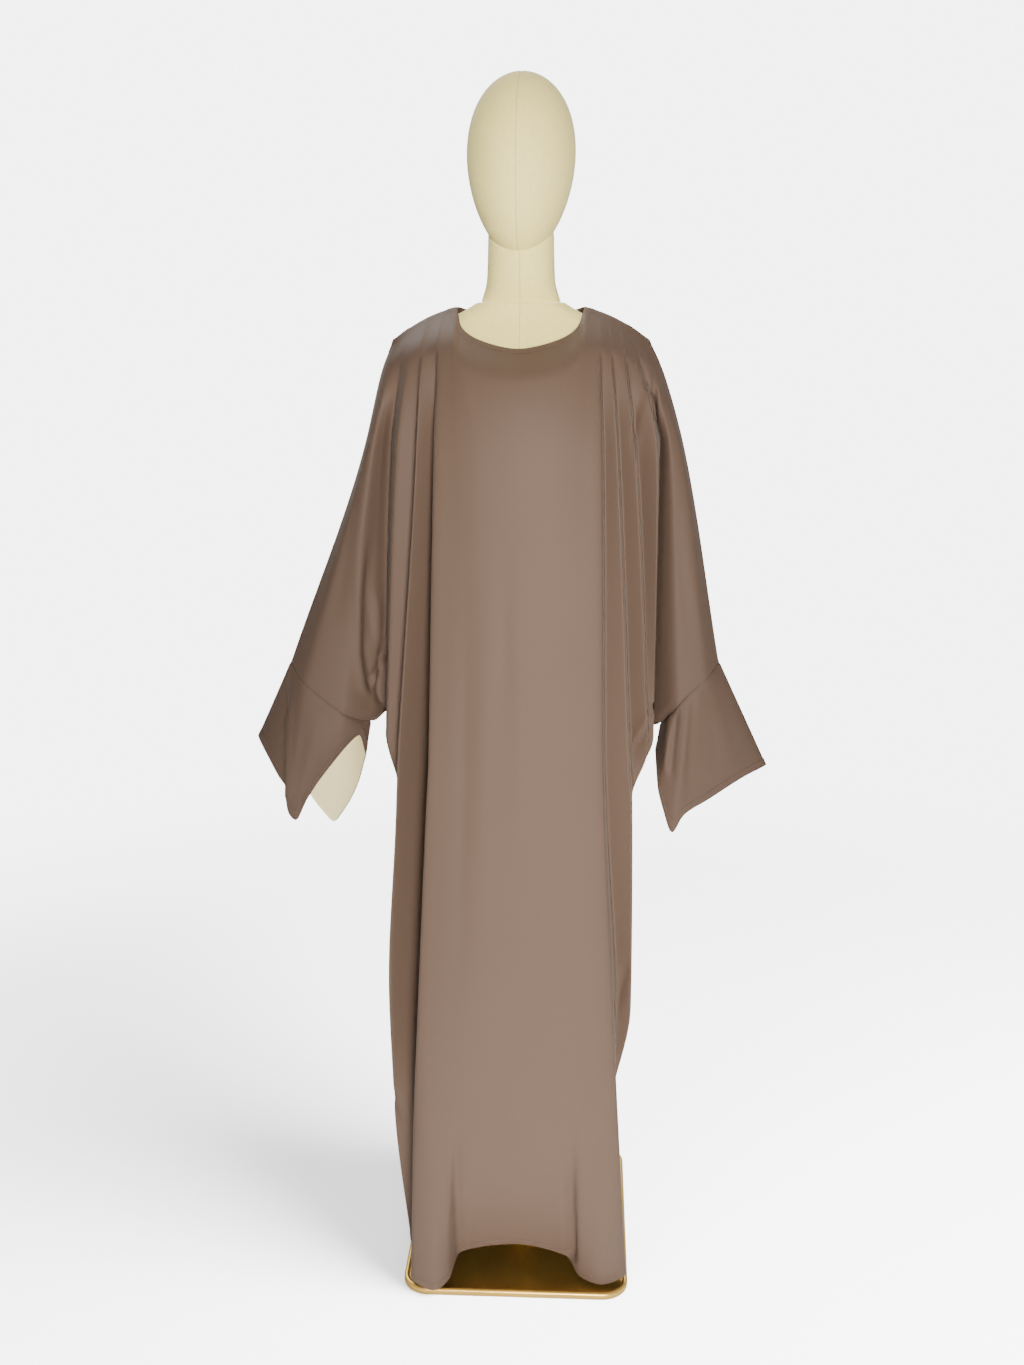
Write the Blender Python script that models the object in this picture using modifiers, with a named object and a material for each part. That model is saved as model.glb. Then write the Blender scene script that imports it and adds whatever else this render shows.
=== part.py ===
"""A closed batwing abaya with flared, pointed cuffs, worn by a limbless dress form on a base plate.

Metres, +Z up. The origin lies under the middle of the base plate and the front faces -Y.
Left and right are as seen from the front: left is -X.

The cloth is one lattice of points. A column of it runs down a fold, from the shoulder seam or
the neckline to the hem, or on a sleeve to the cuff. Each row of the tables below is one fold line.
"""

from collections import namedtuple

import bmesh
import bpy
import numpy as np
from mathutils import Matrix, Vector

# ---------------------------------------------------------------- cloth sizes
CLOTH = 0.0020
LINING = 0.0012
SEAM_GAP = 0.0003
EDGE_TRIM = 0.0002
SHARPEST_CORNER = 0.4
# A point's normal is pulled in small steps towards any face that it meets less squarely than this.
SQUARE_ENOUGH = 0.45
NORMAL_PULL = 0.05
NORMAL_STEPS = 60

BUST_Z = 1.25
HIP_Z = 0.845
THIGH_Z = 0.755
KNEE_Z = 0.45
CALF_Z = 0.27
# Distances down the cloth to the heights that the tables use.
TOP_S = 0.0
CHEST_S = 0.08
BUST_S = 0.22
UNDERARM_S = 0.608
HIP_S = 0.63
THIGH_S = 0.72
KNEE_S = 1.02
CALF_S = 1.20
HEM_S = 1.45

# Rows of the lattice between two heights, from the top down.
ROWS_TO_CHEST = 3
ROWS_TO_BUST = 2
ROWS_TO_UNDERARM = 4
ROWS_TO_HIP = 1
ROWS_TO_THIGH = 2
ROWS_TO_KNEE = 3
ROWS_TO_CALF = 2
ROWS_TO_HEM = 4
CUFF_ROWS = 6

# Neck and shoulder seam.
NECK_HALF = 0.090
NECK_SIDE_Z = 1.4425
NECK_FRONT_DROP = 0.055
NECK_FRONT_REACH = 0.085
NECK_BACK_DROP = 0.012
NECK_BACK_REACH = 0.070
SHOULDER_Y = -0.030
SHOULDER_TIP = 0.178
SHOULDER_TIP_Z = 1.398
SHOULDER_ROUND = 0.007
# Where the cloth has got to at chest height, as parts of the way from its top to the bust.
CHEST_FALL = 0.30
BLADE_FALL = 0.20
CHEST_REACH = 0.66
CHEST_SPREAD = 0.35
# Over the chest the folds fade into a plain round form of this half width and depth.
FOLD_LEFT = 0.25
ROUND_HALF = 0.235
ROUND_POWER = 0.75
ROUND_FRONT = 0.165
ROUND_BACK = 0.128
# How far the front and back have closed just above the underarm seam.
UNDERARM_CLOSED = 0.25

# ---------------------------------------------------------------- fold tables
# A body fold: cols is the number of lattice columns up to the next row of the table, top_x its
# place on the shoulder seam or neckline, and then x and y at the bust, hip, thigh, knee, calf and
# hem, and the height of the hem.
Fold = namedtuple(
    "Fold",
    "name cols top_x bust_x bust_y hip_x hip_y thigh_x thigh_y knee_x knee_y calf_x calf_y"
    " hem_x hem_y hem_z",
)
# fmt: off
FRONT_FOLDS = (
    Fold("left side", 3, -0.150, -0.182, -0.052, -0.199, -0.030, -0.182, -0.036,
         -0.200, -0.045, -0.199, -0.032, -0.172, -0.010, 0.022),
    Fold("left outer ridge", 2, -0.143, -0.164, -0.116, -0.187, -0.114, -0.172, -0.100,
         -0.192, -0.090, -0.191, -0.070, -0.174, -0.045, 0.021),
    Fold("left outer valley", 2, -0.131, -0.139, -0.115, -0.170, -0.114, -0.173, -0.122,
         -0.191, -0.118, -0.188, -0.098, -0.171, -0.070, 0.020),
    Fold("left inner ridge", 3, -0.126, -0.135, -0.149, -0.165, -0.158, -0.170, -0.152,
         -0.186, -0.142, -0.186, -0.122, -0.168, -0.097, 0.019),
    Fold("left inner valley", 3, -0.109, -0.113, -0.132, -0.123, -0.114, -0.128, -0.110,
         -0.145, -0.106, -0.154, -0.116, -0.151, -0.112, 0.018),
    Fold("left panel edge", 2, -0.105, -0.109, -0.171, -0.118, -0.203, -0.123, -0.204,
         -0.139, -0.205, -0.148, -0.203, -0.157, -0.194, 0.023),
    Fold("left lobe", 2, -0.090, -0.086, -0.180, -0.095, -0.208, -0.100, -0.209,
         -0.114, -0.212, -0.122, -0.213, -0.122, -0.213, 0.0145),
    Fold("left lobe turn", 2, -0.080, -0.066, -0.186, -0.072, -0.211, -0.076, -0.212,
         -0.088, -0.215, -0.096, -0.213, -0.100, -0.198, 0.022),
    Fold("left crease", 3, -0.062, -0.046, -0.190, -0.050, -0.214, -0.054, -0.215,
         -0.066, -0.217, -0.074, -0.211, -0.086, -0.160, 0.043),
    Fold("centre front", 3, 0.000, 0.000, -0.193, 0.000, -0.216, 0.000, -0.217,
         0.000, -0.218, 0.000, -0.211, 0.000, -0.148, 0.053),
    Fold("right crease", 2, 0.062, 0.046, -0.190, 0.050, -0.214, 0.053, -0.215,
         0.062, -0.216, 0.070, -0.209, 0.079, -0.156, 0.038),
    Fold("right lobe turn", 2, 0.080, 0.068, -0.186, 0.072, -0.211, 0.076, -0.212,
         0.088, -0.213, 0.094, -0.208, 0.097, -0.174, 0.019),
    Fold("right lobe", 2, 0.090, 0.088, -0.181, 0.095, -0.208, 0.100, -0.209,
         0.114, -0.210, 0.122, -0.205, 0.130, -0.187, 0.0145),
    Fold("right panel edge", 2, 0.105, 0.113, -0.172, 0.120, -0.202, 0.124, -0.202,
         0.141, -0.199, 0.152, -0.192, 0.167, -0.168, 0.021),
    Fold("right first valley", 2, 0.109, 0.117, -0.146, 0.124, -0.163, 0.128, -0.157,
         0.146, -0.147, 0.147, -0.136, 0.147, -0.124, 0.019),
    Fold("right second ridge", 2, 0.119, 0.134, -0.155, 0.156, -0.173, 0.162, -0.168,
         0.166, -0.156, 0.141, -0.126, 0.142, -0.104, 0.020),
    Fold("right second valley", 2, 0.123, 0.138, -0.130, 0.160, -0.130, 0.164, -0.134,
         0.168, -0.128, 0.138, -0.108, 0.138, -0.090, 0.021),
    Fold("right third ridge", 2, 0.133, 0.158, -0.142, 0.184, -0.140, 0.163, -0.114,
         0.168, -0.107, 0.137, -0.092, 0.136, -0.075, 0.021),
    Fold("right third valley", 2, 0.137, 0.162, -0.107, 0.187, -0.092, 0.165, -0.088,
         0.170, -0.080, 0.136, -0.068, 0.134, -0.056, 0.022),
    Fold("right outer ridge", 3, 0.146, 0.189, -0.123, 0.194, -0.090, 0.165, -0.064,
         0.169, -0.054, 0.134, -0.046, 0.132, -0.034, 0.022),
    Fold("right side", 0, 0.150, 0.195, -0.045, 0.193, -0.025, 0.164, -0.034,
         0.166, -0.030, 0.131, -0.020, 0.128, -0.010, 0.022),
)
BACK_FOLDS = (
    Fold("left side", 4, -0.150, -0.184, 0.012, -0.199, -0.030, -0.182, -0.036,
         -0.200, -0.045, -0.199, -0.032, -0.172, -0.010, 0.022),
    Fold("left outer ridge", 4, -0.138, -0.172, 0.050, -0.180, 0.042, -0.178, 0.040,
         -0.184, 0.048, -0.178, 0.058, -0.160, 0.068, 0.022),
    Fold("left outer valley", 4, -0.122, -0.142, 0.066, -0.142, 0.052, -0.142, 0.050,
         -0.146, 0.048, -0.142, 0.054, -0.132, 0.060, 0.023),
    Fold("left inner ridge", 3, -0.106, -0.110, 0.090, -0.112, 0.096, -0.112, 0.098,
         -0.115, 0.106, -0.113, 0.114, -0.108, 0.122, 0.022),
    Fold("left inner valley", 2, -0.090, -0.076, 0.092, -0.073, 0.086, -0.073, 0.084,
         -0.075, 0.082, -0.075, 0.086, -0.072, 0.092, 0.023),
    Fold("left centre ridge", 2, -0.055, -0.040, 0.102, -0.036, 0.112, -0.036, 0.115,
         -0.036, 0.121, -0.036, 0.126, -0.036, 0.132, 0.022),
    Fold("centre back", 2, 0.000, 0.000, 0.100, 0.002, 0.098, 0.002, 0.098,
         0.003, 0.100, 0.003, 0.102, 0.002, 0.106, 0.023),
    Fold("right centre ridge", 2, 0.055, 0.041, 0.102, 0.041, 0.115, 0.041, 0.118,
         0.043, 0.124, 0.043, 0.128, 0.042, 0.133, 0.022),
    Fold("right inner valley", 4, 0.090, 0.078, 0.092, 0.078, 0.084, 0.078, 0.082,
         0.079, 0.080, 0.077, 0.084, 0.074, 0.090, 0.023),
    Fold("right inner ridge", 4, 0.106, 0.112, 0.088, 0.113, 0.093, 0.110, 0.094,
         0.112, 0.102, 0.104, 0.108, 0.099, 0.114, 0.022),
    Fold("right outer valley", 5, 0.122, 0.145, 0.064, 0.144, 0.050, 0.136, 0.048,
         0.136, 0.048, 0.120, 0.052, 0.112, 0.056, 0.023),
    Fold("right outer ridge", 4, 0.138, 0.178, 0.046, 0.180, 0.036, 0.160, 0.034,
         0.162, 0.036, 0.134, 0.042, 0.128, 0.046, 0.022),
    Fold("right side", 0, 0.150, 0.193, 0.012, 0.193, -0.025, 0.164, -0.034,
         0.166, -0.030, 0.131, -0.020, 0.128, -0.010, 0.022),
)
# fmt: on

# A sleeve line: cols to the next row, its place on the shoulder seam, x and y at bust height in
# the front and the back half, and its end at the cuff seam in each half. Both halves meet at the
# first and the last row's end, and along the whole of the last row, the overarm seam.
SleeveLine = namedtuple(
    "SleeveLine",
    "name cols top_x bust_x front_y back_y end_x end_front_y end_back_y end_z",
)
SLEEVE_RIGHT = (
    SleeveLine("cuff inner end", 3, 0.155, 0.201, -0.064, 0.008, 0.205, -0.045, -0.045, 0.854),
    SleeveLine("inner third", 4, 0.162, 0.209, -0.072, 0.010, 0.230, -0.082, -0.012, 0.892),
    SleeveLine("outer third", 3, 0.170, 0.223, -0.062, 0.000, 0.264, -0.078, -0.016, 0.924),
    SleeveLine("overarm seam", 0, 0.178, 0.231, -0.032, -0.032, 0.288, -0.045, -0.045, 0.946),
)
SLEEVE_LEFT = (
    SleeveLine("cuff inner end", 3, -0.155, -0.193, -0.066, 0.006, -0.218, -0.050, -0.050, 0.852),
    SleeveLine("inner third", 4, -0.162, -0.204, -0.076, 0.008, -0.257, -0.092, -0.018, 0.876),
    SleeveLine("outer third", 3, -0.170, -0.214, -0.066, 0.000, -0.304, -0.088, -0.018, 0.912),
    SleeveLine("overarm seam", 0, -0.178, -0.222, -0.034, -0.034, -0.335, -0.050, -0.050, 0.940),
)
UNDERARM_COLS = 2
SIDE_LINES = ("left side", "right side")
# The cloth at the top of the gap under the left arm hangs this much higher than beside it.
UNDERARM_LIFT = {"left side": 0.018, "left outer ridge": 0.004}

# A cuff line runs from the cuff seam to the pointed hem: its step round the cuff, in lattice
# columns from the inner end, its push off the straight line half way down, and its hem end.
CuffLine = namedtuple("CuffLine", "name column push_x push_y hem_x hem_y hem_z")
CUFF_RIGHT = (
    CuffLine("inner notch", 0, 0.000, 0.000, 0.199, -0.044, 0.812),
    CuffLine("front inner", 3, 0.000, -0.004, 0.202, -0.078, 0.766),
    CuffLine("front slope", 4, 0.000, -0.006, 0.211, -0.083, 0.731),
    CuffLine("front point", 5, 0.000, -0.008, 0.224, -0.086, 0.699),
    CuffLine("front rise", 6, 0.000, -0.002, 0.241, -0.084, 0.726),
    CuffLine("front crease", 7, 0.000, 0.004, 0.275, -0.072, 0.745),
    CuffLine("front outer", 9, 0.000, -0.004, 0.330, -0.052, 0.776),
    CuffLine("outer corner", 10, 0.000, 0.000, 0.362, -0.038, 0.790),
    CuffLine("back outer", 11, 0.000, 0.004, 0.332, -0.018, 0.776),
    CuffLine("back wave", 13, 0.000, 0.006, 0.280, 0.000, 0.742),
    CuffLine("back point", 15, 0.000, 0.008, 0.236, 0.006, 0.704),
    CuffLine("back inner", 17, 0.000, 0.004, 0.210, -0.008, 0.762),
)
CUFF_LEFT = (
    CuffLine("inner notch", 0, 0.000, 0.000, -0.228, -0.046, 0.798),
    CuffLine("front inner", 1, 0.000, -0.004, -0.234, -0.066, 0.835),
    CuffLine("front slope", 4, 0.000, -0.006, -0.289, -0.080, 0.774),
    CuffLine("front roll", 5, 0.000, -0.007, -0.312, -0.081, 0.739),
    CuffLine("front point", 6, 0.000, -0.008, -0.329, -0.081, 0.707),
    CuffLine("front turn", 7, 0.000, -0.007, -0.340, -0.080, 0.718),
    CuffLine("front fold", 8, 0.000, -0.006, -0.346, -0.074, 0.748),
    CuffLine("outer corner", 10, 0.000, 0.004, -0.393, -0.022, 0.820),
    CuffLine("back outer", 12, 0.000, 0.008, -0.348, 0.014, 0.752),
    CuffLine("back turn", 14, 0.000, 0.010, -0.306, 0.013, 0.690),
    CuffLine("back point", 15, 0.000, 0.010, -0.289, 0.010, 0.674),
    CuffLine("back slope", 16, 0.000, 0.009, -0.275, 0.004, 0.690),
    CuffLine("back inner", 18, 0.000, 0.004, -0.247, -0.016, 0.741),
)

# ---------------------------------------------------------------- form and stand sizes
# The torso's level sections: height, half width, front and back of each.
Section = namedtuple("Section", "z half_width front back")
TORSO = (
    Section(0.790, 0.114, -0.094, 0.072),
    Section(0.860, 0.122, -0.102, 0.074),
    Section(1.010, 0.106, -0.094, 0.056),
    Section(1.110, 0.110, -0.104, 0.056),
    Section(1.240, 0.130, -0.130, 0.062),
    Section(1.330, 0.146, -0.108, 0.058),
    Section(1.3804, 0.154, -0.086, 0.034),
    Section(1.4064, 0.140, -0.072, 0.014),
    Section(1.4224, 0.112, -0.064, 0.004),
    Section(1.4363, 0.080, -0.060, 0.002),
    Section(1.448, 0.060, -0.058, 0.012),
)
TORSO_SIDES = 26
TORSO_RINGS = 16
TORSO_SQUARENESS = 2.3

NECK = (
    Section(1.4483, 0.055, -0.056, 0.014),
    Section(1.480, 0.047, -0.064, 0.020),
    Section(1.600, 0.045, -0.066, 0.022),
)
NECK_SIDES = 24
NECK_RINGS = 6

HEAD_CENTRE = (0.0, -0.022, 1.629)
HEAD_HALF = (0.0730, 0.094, 0.121)
HEAD_TAPER = 0.13
CHIN_FORWARD = 0.016
HEAD_TURN = 4.0
HEAD_SEGMENTS = 24
HEAD_RINGS = 14
NECK_TO_HEAD = 1.004

PLATE_WIDTH = 0.340
PLATE_DEPTH = 0.410
PLATE_THICK = 0.011
PLATE_CORNER = 0.040
PLATE_EDGE = 0.0025
PLATE_RIM = 0.008
PLATE_RECESS = 0.002
CORNER_STEPS = 6
POLE_RADIUS = 0.0125
POLE_SIDES = 20
FOOT_RADIUS = 0.045
FOOT_HEIGHT = 0.012
SOCKET_RADIUS = 0.050
SOCKET_HEIGHT = 0.014
TURNED_EDGE = 0.003

TAUPE = (0.318, 0.232, 0.182)
CREAM = (0.760, 0.680, 0.520)
LINEN = (0.790, 0.740, 0.590)
GOLD = (0.640, 0.420, 0.120)


# ---------------------------------------------------------------- helpers
def start_clean():
    for obj in list(bpy.data.objects):
        bpy.data.objects.remove(obj, do_unlink=True)


def collection(name):
    made = bpy.data.collections.new(name)
    bpy.context.scene.collection.children.link(made)
    return made


def material(name, colour, roughness, metallic=0.0):
    made = bpy.data.materials.new(name)
    made.use_nodes = True
    shader = made.node_tree.nodes["Principled BSDF"]
    shader.inputs["Base Color"].default_value = (*colour, 1.0)
    shader.inputs["Roughness"].default_value = roughness
    shader.inputs["Metallic"].default_value = metallic
    return made


def add_object(name, mesh, group, finish):
    obj = bpy.data.objects.new(name, mesh)
    obj.data.materials.append(finish)
    obj.data.shade_smooth()
    obj.data.set_sharp_from_angle(angle=np.radians(40))
    group.objects.link(obj)
    return obj


def smooth_through(knots, values, at):
    """Monotone cubic through the values, so that no fold overshoots its neighbours."""
    knots = np.asarray(knots, float)
    values = np.asarray(values, float)
    at = np.asarray(at, float)
    step = np.diff(knots)
    shape = (-1,) + (1,) * (values.ndim - 1)
    width = step.reshape(shape)
    slope = np.diff(values, axis=0) / width
    tangent = np.zeros_like(values)
    tangent[0] = slope[0]
    tangent[-1] = slope[-1]
    before = slope[:-1]
    after = slope[1:]
    weight_a = 2 * width[1:] + width[:-1]
    weight_b = width[1:] + 2 * width[:-1]
    same_way = before * after > 0
    safe_before = np.where(same_way, before, 1.0)
    safe_after = np.where(same_way, after, 1.0)
    mean = (weight_a + weight_b) / (weight_a / safe_before + weight_b / safe_after)
    tangent[1:-1] = np.where(same_way, mean, 0.0)
    span = np.clip(np.searchsorted(knots, at, side="right") - 1, 0, len(step) - 1)
    t = ((at - knots[span]) / step[span]).reshape(shape)
    wide = width[span]
    rise = 3 * t**2 - 2 * t**3
    start_pull = (t**3 - 2 * t**2 + t) * wide * tangent[span]
    end_pull = (t**3 - t**2) * wide * tangent[span + 1]
    return values[span] * (1 - rise) + values[span + 1] * rise + start_pull + end_pull


def even_steps(knots, counts):
    """Positions with counts[i] equal steps between knots i and i + 1."""
    found = [knots[0]]
    for low, high, count in zip(knots, knots[1:], counts):
        found.extend(np.linspace(low, high, count + 1)[1:])
    return np.array(found)


# ---------------------------------------------------------------- cloth lattice
def top_edge(x, facing):
    """A point of the shoulder seam, or of the neckline inside it; facing is -1 in front, 1 behind."""
    if abs(x) >= NECK_HALF:
        along = (abs(x) - NECK_HALF) / (SHOULDER_TIP - NECK_HALF)
        fall = (NECK_SIDE_Z - SHOULDER_TIP_Z) * along
        crown = SHOULDER_ROUND * 4 * along * (1 - along)
        return (x, SHOULDER_Y, NECK_SIDE_Z - fall + crown)
    round_in = np.sqrt(1 - (x / NECK_HALF) ** 2)
    drop, reach = (
        (NECK_FRONT_DROP, NECK_FRONT_REACH) if facing < 0 else (NECK_BACK_DROP, NECK_BACK_REACH)
    )
    return (x, SHOULDER_Y + facing * reach * round_in, NECK_SIDE_Z - drop * round_in)


def underarm_point(bust, end, closing):
    """Just above the end of a sleeve line. Where the front meets the back there, they are still
    well apart, so that the underarm seam is round and not a knife edge."""
    part = (UNDERARM_S - BUST_S) / (HIP_S - BUST_S)
    point = np.array(bust) + part * (np.array(end) - np.array(bust))
    if closing:
        point[1] = bust[1] + UNDERARM_CLOSED * (end[1] - bust[1])
    return point


def plain_round(x, facing):
    """How far forward or back a body without folds would reach at x."""
    depth = ROUND_FRONT if facing < 0 else ROUND_BACK
    return SHOULDER_Y + facing * depth * (1 - (x / ROUND_HALF) ** 2) ** ROUND_POWER


def chest_point(top, bust, facing, folded):
    """Where a line has rounded over the chest or the shoulder blade, its fold not yet deep."""
    x, y, z = bust
    if folded:
        y = plain_round(x, facing) + FOLD_LEFT * (y - plain_round(x, facing))
    fall = CHEST_FALL if facing < 0 else BLADE_FALL
    if not folded:
        fall = (CHEST_FALL + BLADE_FALL) / 2
    part = np.array((CHEST_SPREAD, CHEST_REACH, fall))
    return np.array(top) + part * (np.array((x, y, z)) - np.array(top))


def body_line(fold, facing):
    top = top_edge(fold.top_x, facing)
    bust = (fold.bust_x, fold.bust_y, BUST_Z)
    hip = (fold.hip_x, fold.hip_y, HIP_Z + UNDERARM_LIFT.get(fold.name, 0.0))
    return (
        top,
        chest_point(top, bust, facing, True),
        bust,
        underarm_point(bust, hip, fold.name in SIDE_LINES),
        hip,
        (fold.thigh_x, fold.thigh_y, THIGH_Z),
        (fold.knee_x, fold.knee_y, KNEE_Z),
        (fold.calf_x, fold.calf_y, CALF_Z),
        (fold.hem_x, fold.hem_y, fold.hem_z),
    )


def sleeve_line(line, facing):
    top = top_edge(line.top_x, facing)
    bust = (line.bust_x, line.front_y if facing < 0 else line.back_y, BUST_Z)
    end_y = line.end_front_y if facing < 0 else line.end_back_y
    end = (line.end_x, end_y, line.end_z)
    return (
        top,
        chest_point(top, bust, facing, line.name != "overarm seam"),
        bust,
        underarm_point(bust, end, line.name == "cuff inner end"),
        end,
    )


# One half of the garment: its points by column and row, then the column numbers of the left and
# right side and of the two ends of the neckline, and the row of the underarm.
Half = namedtuple("Half", "points left right neck_left neck_right hip")


def half_lattice(folds, facing):
    """All columns of the front or the back: left sleeve, body, right sleeve. Below the hip only
    the body's columns hold real points."""
    upper_knots = (TOP_S, CHEST_S, BUST_S, UNDERARM_S, HIP_S)
    upper_counts = (ROWS_TO_CHEST, ROWS_TO_BUST, ROWS_TO_UNDERARM, ROWS_TO_HIP)
    upper_rows = even_steps(upper_knots, upper_counts)
    all_knots = upper_knots + (THIGH_S, KNEE_S, CALF_S, HEM_S)
    lower_counts = (ROWS_TO_THIGH, ROWS_TO_KNEE, ROWS_TO_CALF, ROWS_TO_HEM)
    lower_rows = even_steps(all_knots[4:], lower_counts)[1:]
    rows = np.concatenate((upper_rows, lower_rows))
    hip = len(upper_rows) - 1

    sleeve_left = [sleeve_line(line, facing) for line in reversed(SLEEVE_LEFT)]
    sleeve_right = [sleeve_line(line, facing) for line in SLEEVE_RIGHT]
    body = [body_line(fold, facing) for fold in folds]
    stations = sleeve_left + [line[: len(upper_knots)] for line in body] + sleeve_right
    left_counts = [line.cols for line in reversed(SLEEVE_LEFT[:-1])] + [UNDERARM_COLS]
    right_counts = [UNDERARM_COLS] + [line.cols for line in SLEEVE_RIGHT[:-1]]
    body_counts = [fold.cols for fold in folds[:-1]]

    station_at = np.arange(len(stations))
    column_at = even_steps(station_at, left_counts + body_counts + right_counts)
    upper = smooth_through(upper_knots, np.array(stations).transpose(1, 0, 2), upper_rows)
    upper = smooth_through(station_at, upper.transpose(1, 0, 2), column_at)
    lower = smooth_through(all_knots, np.array(body).transpose(1, 0, 2), rows[hip:])
    body_at = even_steps(np.arange(len(body)), body_counts)
    lower = smooth_through(np.arange(len(body)), lower.transpose(1, 0, 2), body_at)

    left = sum(left_counts)
    right = left + sum(body_counts)
    points = np.full((len(column_at), len(rows), 3), np.nan)
    points[:, : hip + 1] = upper
    points[left : right + 1, hip + 1 :] = lower[:, 1:]
    tops = [fold.top_x for fold in folds]
    neck_left = left + sum(body_counts[: tops.index(-NECK_HALF)])
    neck_right = left + sum(body_counts[: tops.index(NECK_HALF)])
    return Half(points, left, right, neck_left, neck_right, hip)


class Cloth:
    """The garment's points, their outward normals and each piece's quads."""

    def __init__(self):
        self.points = []
        self.quads = {}
        self.normals = None

    def add(self, point):
        self.points.append(tuple(point))
        return len(self.points) - 1

    def finish(self):
        """Sets the normals. Where the cloth turns sharply each faces the triangles round its point
        as squarely as it can, so that a wall's inner face can't come through its outer one."""
        self.points = np.array(self.points)
        quads = np.array([quad for piece in self.quads.values() for quad in piece])
        triangles = np.concatenate((quads[:, (0, 1, 2)], quads[:, (0, 2, 3)]))
        a, b, c = self.points[triangles].transpose(1, 0, 2)
        facing = np.cross(b - a, c - a)[:, None]
        normals = np.zeros_like(self.points)
        np.add.at(normals, triangles, facing)
        facing = facing / np.linalg.norm(facing, axis=2, keepdims=True)
        for _ in range(NORMAL_STEPS):
            normals /= np.linalg.norm(normals, axis=1, keepdims=True)
            squareness = (normals[triangles] * facing).sum(axis=2)
            worst = np.ones(len(normals))
            np.minimum.at(worst, triangles, squareness)
            limit = np.minimum(worst, SQUARE_ENOUGH)[triangles]
            pull = np.where(squareness <= limit, NORMAL_PULL, 0.0)
            np.add.at(normals, triangles, pull[:, :, None] * facing)
        self.normals = normals / np.linalg.norm(normals, axis=1, keepdims=True)


def panel_quads(ids, facing):
    quads = []
    for i in range(ids.shape[0] - 1):
        for j in range(ids.shape[1] - 1):
            corners = (ids[i, j], ids[i, j + 1], ids[i + 1, j + 1], ids[i + 1, j])
            if min(corners) >= 0:
                quads.append(corners if facing < 0 else corners[::-1])
    return quads


def cuff_ring(front_ids, back_ids, left_side, hip):
    """The ids round a cuff seam, from its inner end along the front and home along the back."""
    count = sum(line.cols for line in SLEEVE_RIGHT)
    if left_side:
        outward = range(count, -1, -1)
    else:
        outward = range(-count - 1, 0)
    front_run = [front_ids[i, hip] for i in outward]
    back_run = [back_ids[i, hip] for i in outward]
    return front_run + back_run[-2:0:-1]


def add_cuff(cloth, name, ring, lines, left_side):
    """Quads from the seam ring down to the pointed hem."""
    count = len(ring)
    seam = np.array([cloth.points[i] for i in ring])
    columns = [line.column for line in lines] + [count]
    around = np.arange(count)
    hem_ends = [(line.hem_x, line.hem_y, line.hem_z) for line in lines]
    pushes = [(line.push_x, line.push_y, 0.0) for line in lines]
    hem = smooth_through(columns, hem_ends + hem_ends[:1], around)
    push = smooth_through(columns, pushes + pushes[:1], around)
    rows = [ring]
    for step in range(1, CUFF_ROWS + 1):
        part = step / CUFF_ROWS
        line = seam + part * (hem - seam) + 4 * part * (1 - part) * push
        rows.append([cloth.add(point) for point in line])
    quads = []
    for upper, lower in zip(rows, rows[1:]):
        for i in range(count):
            after = (i + 1) % count
            corners = (upper[i], lower[i], lower[after], upper[after])
            quads.append(corners[::-1] if left_side else corners)
    cloth.quads[name] = quads


def seam_columns(half, row):
    """The columns whose point in this row lies on a seam between the front and the back."""
    cuff_cols = sum(line.cols for line in SLEEVE_RIGHT)
    last = half.points.shape[0] - 1
    if row == 0:
        return set(range(half.neck_left + 1)) | set(range(half.neck_right, last + 1))
    if row < half.hip:
        return {0, last}
    if row == half.hip:
        left_arm = range(cuff_cols, half.left + 1)
        right_arm = range(half.right, last - cuff_cols + 1)
        return {0, last} | set(left_arm) | set(right_arm)
    return {half.left, half.right}


def make_cloth():
    front = half_lattice(FRONT_FOLDS, -1)
    back = half_lattice(BACK_FOLDS, 1)
    cloth = Cloth()
    front_ids = np.full(front.points.shape[:2], -1)
    back_ids = np.full(back.points.shape[:2], -1)
    for i, j in zip(*np.nonzero(~np.isnan(front.points[:, :, 0]))):
        front_ids[i, j] = cloth.add(front.points[i, j])
    wider = front.points.shape[0] - back.points.shape[0]
    for i, j in zip(*np.nonzero(~np.isnan(back.points[:, :, 0]))):
        if i in seam_columns(back, j):
            same_column = i if i <= back.neck_left else i + wider
            back_ids[i, j] = front_ids[same_column, j]
        else:
            back_ids[i, j] = cloth.add(back.points[i, j])
    cloth.quads["front_panel"] = panel_quads(front_ids, -1)
    cloth.quads["back_panel"] = panel_quads(back_ids, 1)
    for name, lines, left_side in (("cuff_left", CUFF_LEFT, True), ("cuff_right", CUFF_RIGHT, False)):
        ring = cuff_ring(front_ids, back_ids, left_side, front.hip)
        add_cuff(cloth, name, ring, lines, left_side)
    cloth.finish()
    return cloth


def trimmed_edges(points, normals, faces, rim):
    """How far each point moves so that the panel ends EDGE_TRIM short of its seams and hems."""
    shift = np.zeros_like(points)
    for face in faces:
        centre = points[face].mean(axis=0)
        for a, b in zip(face, face[1:] + face[:1]):
            if (a, b) in rim:
                along = (points[b] - points[a]) / np.linalg.norm(points[b] - points[a])
                for end in (a, b):
                    across = centre - points[end]
                    across -= (across @ along) * along
                    across -= (across @ normals[end]) * normals[end]
                    shift[end] += across / np.linalg.norm(across)
    for end in {a for edge in rim for a in edge}:
        length = np.linalg.norm(shift[end])
        # Half of length is the cosine of half the turn at this corner of the edge.
        shift[end] *= EDGE_TRIM / length / max(length / 2, SHARPEST_CORNER)
    return shift


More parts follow.
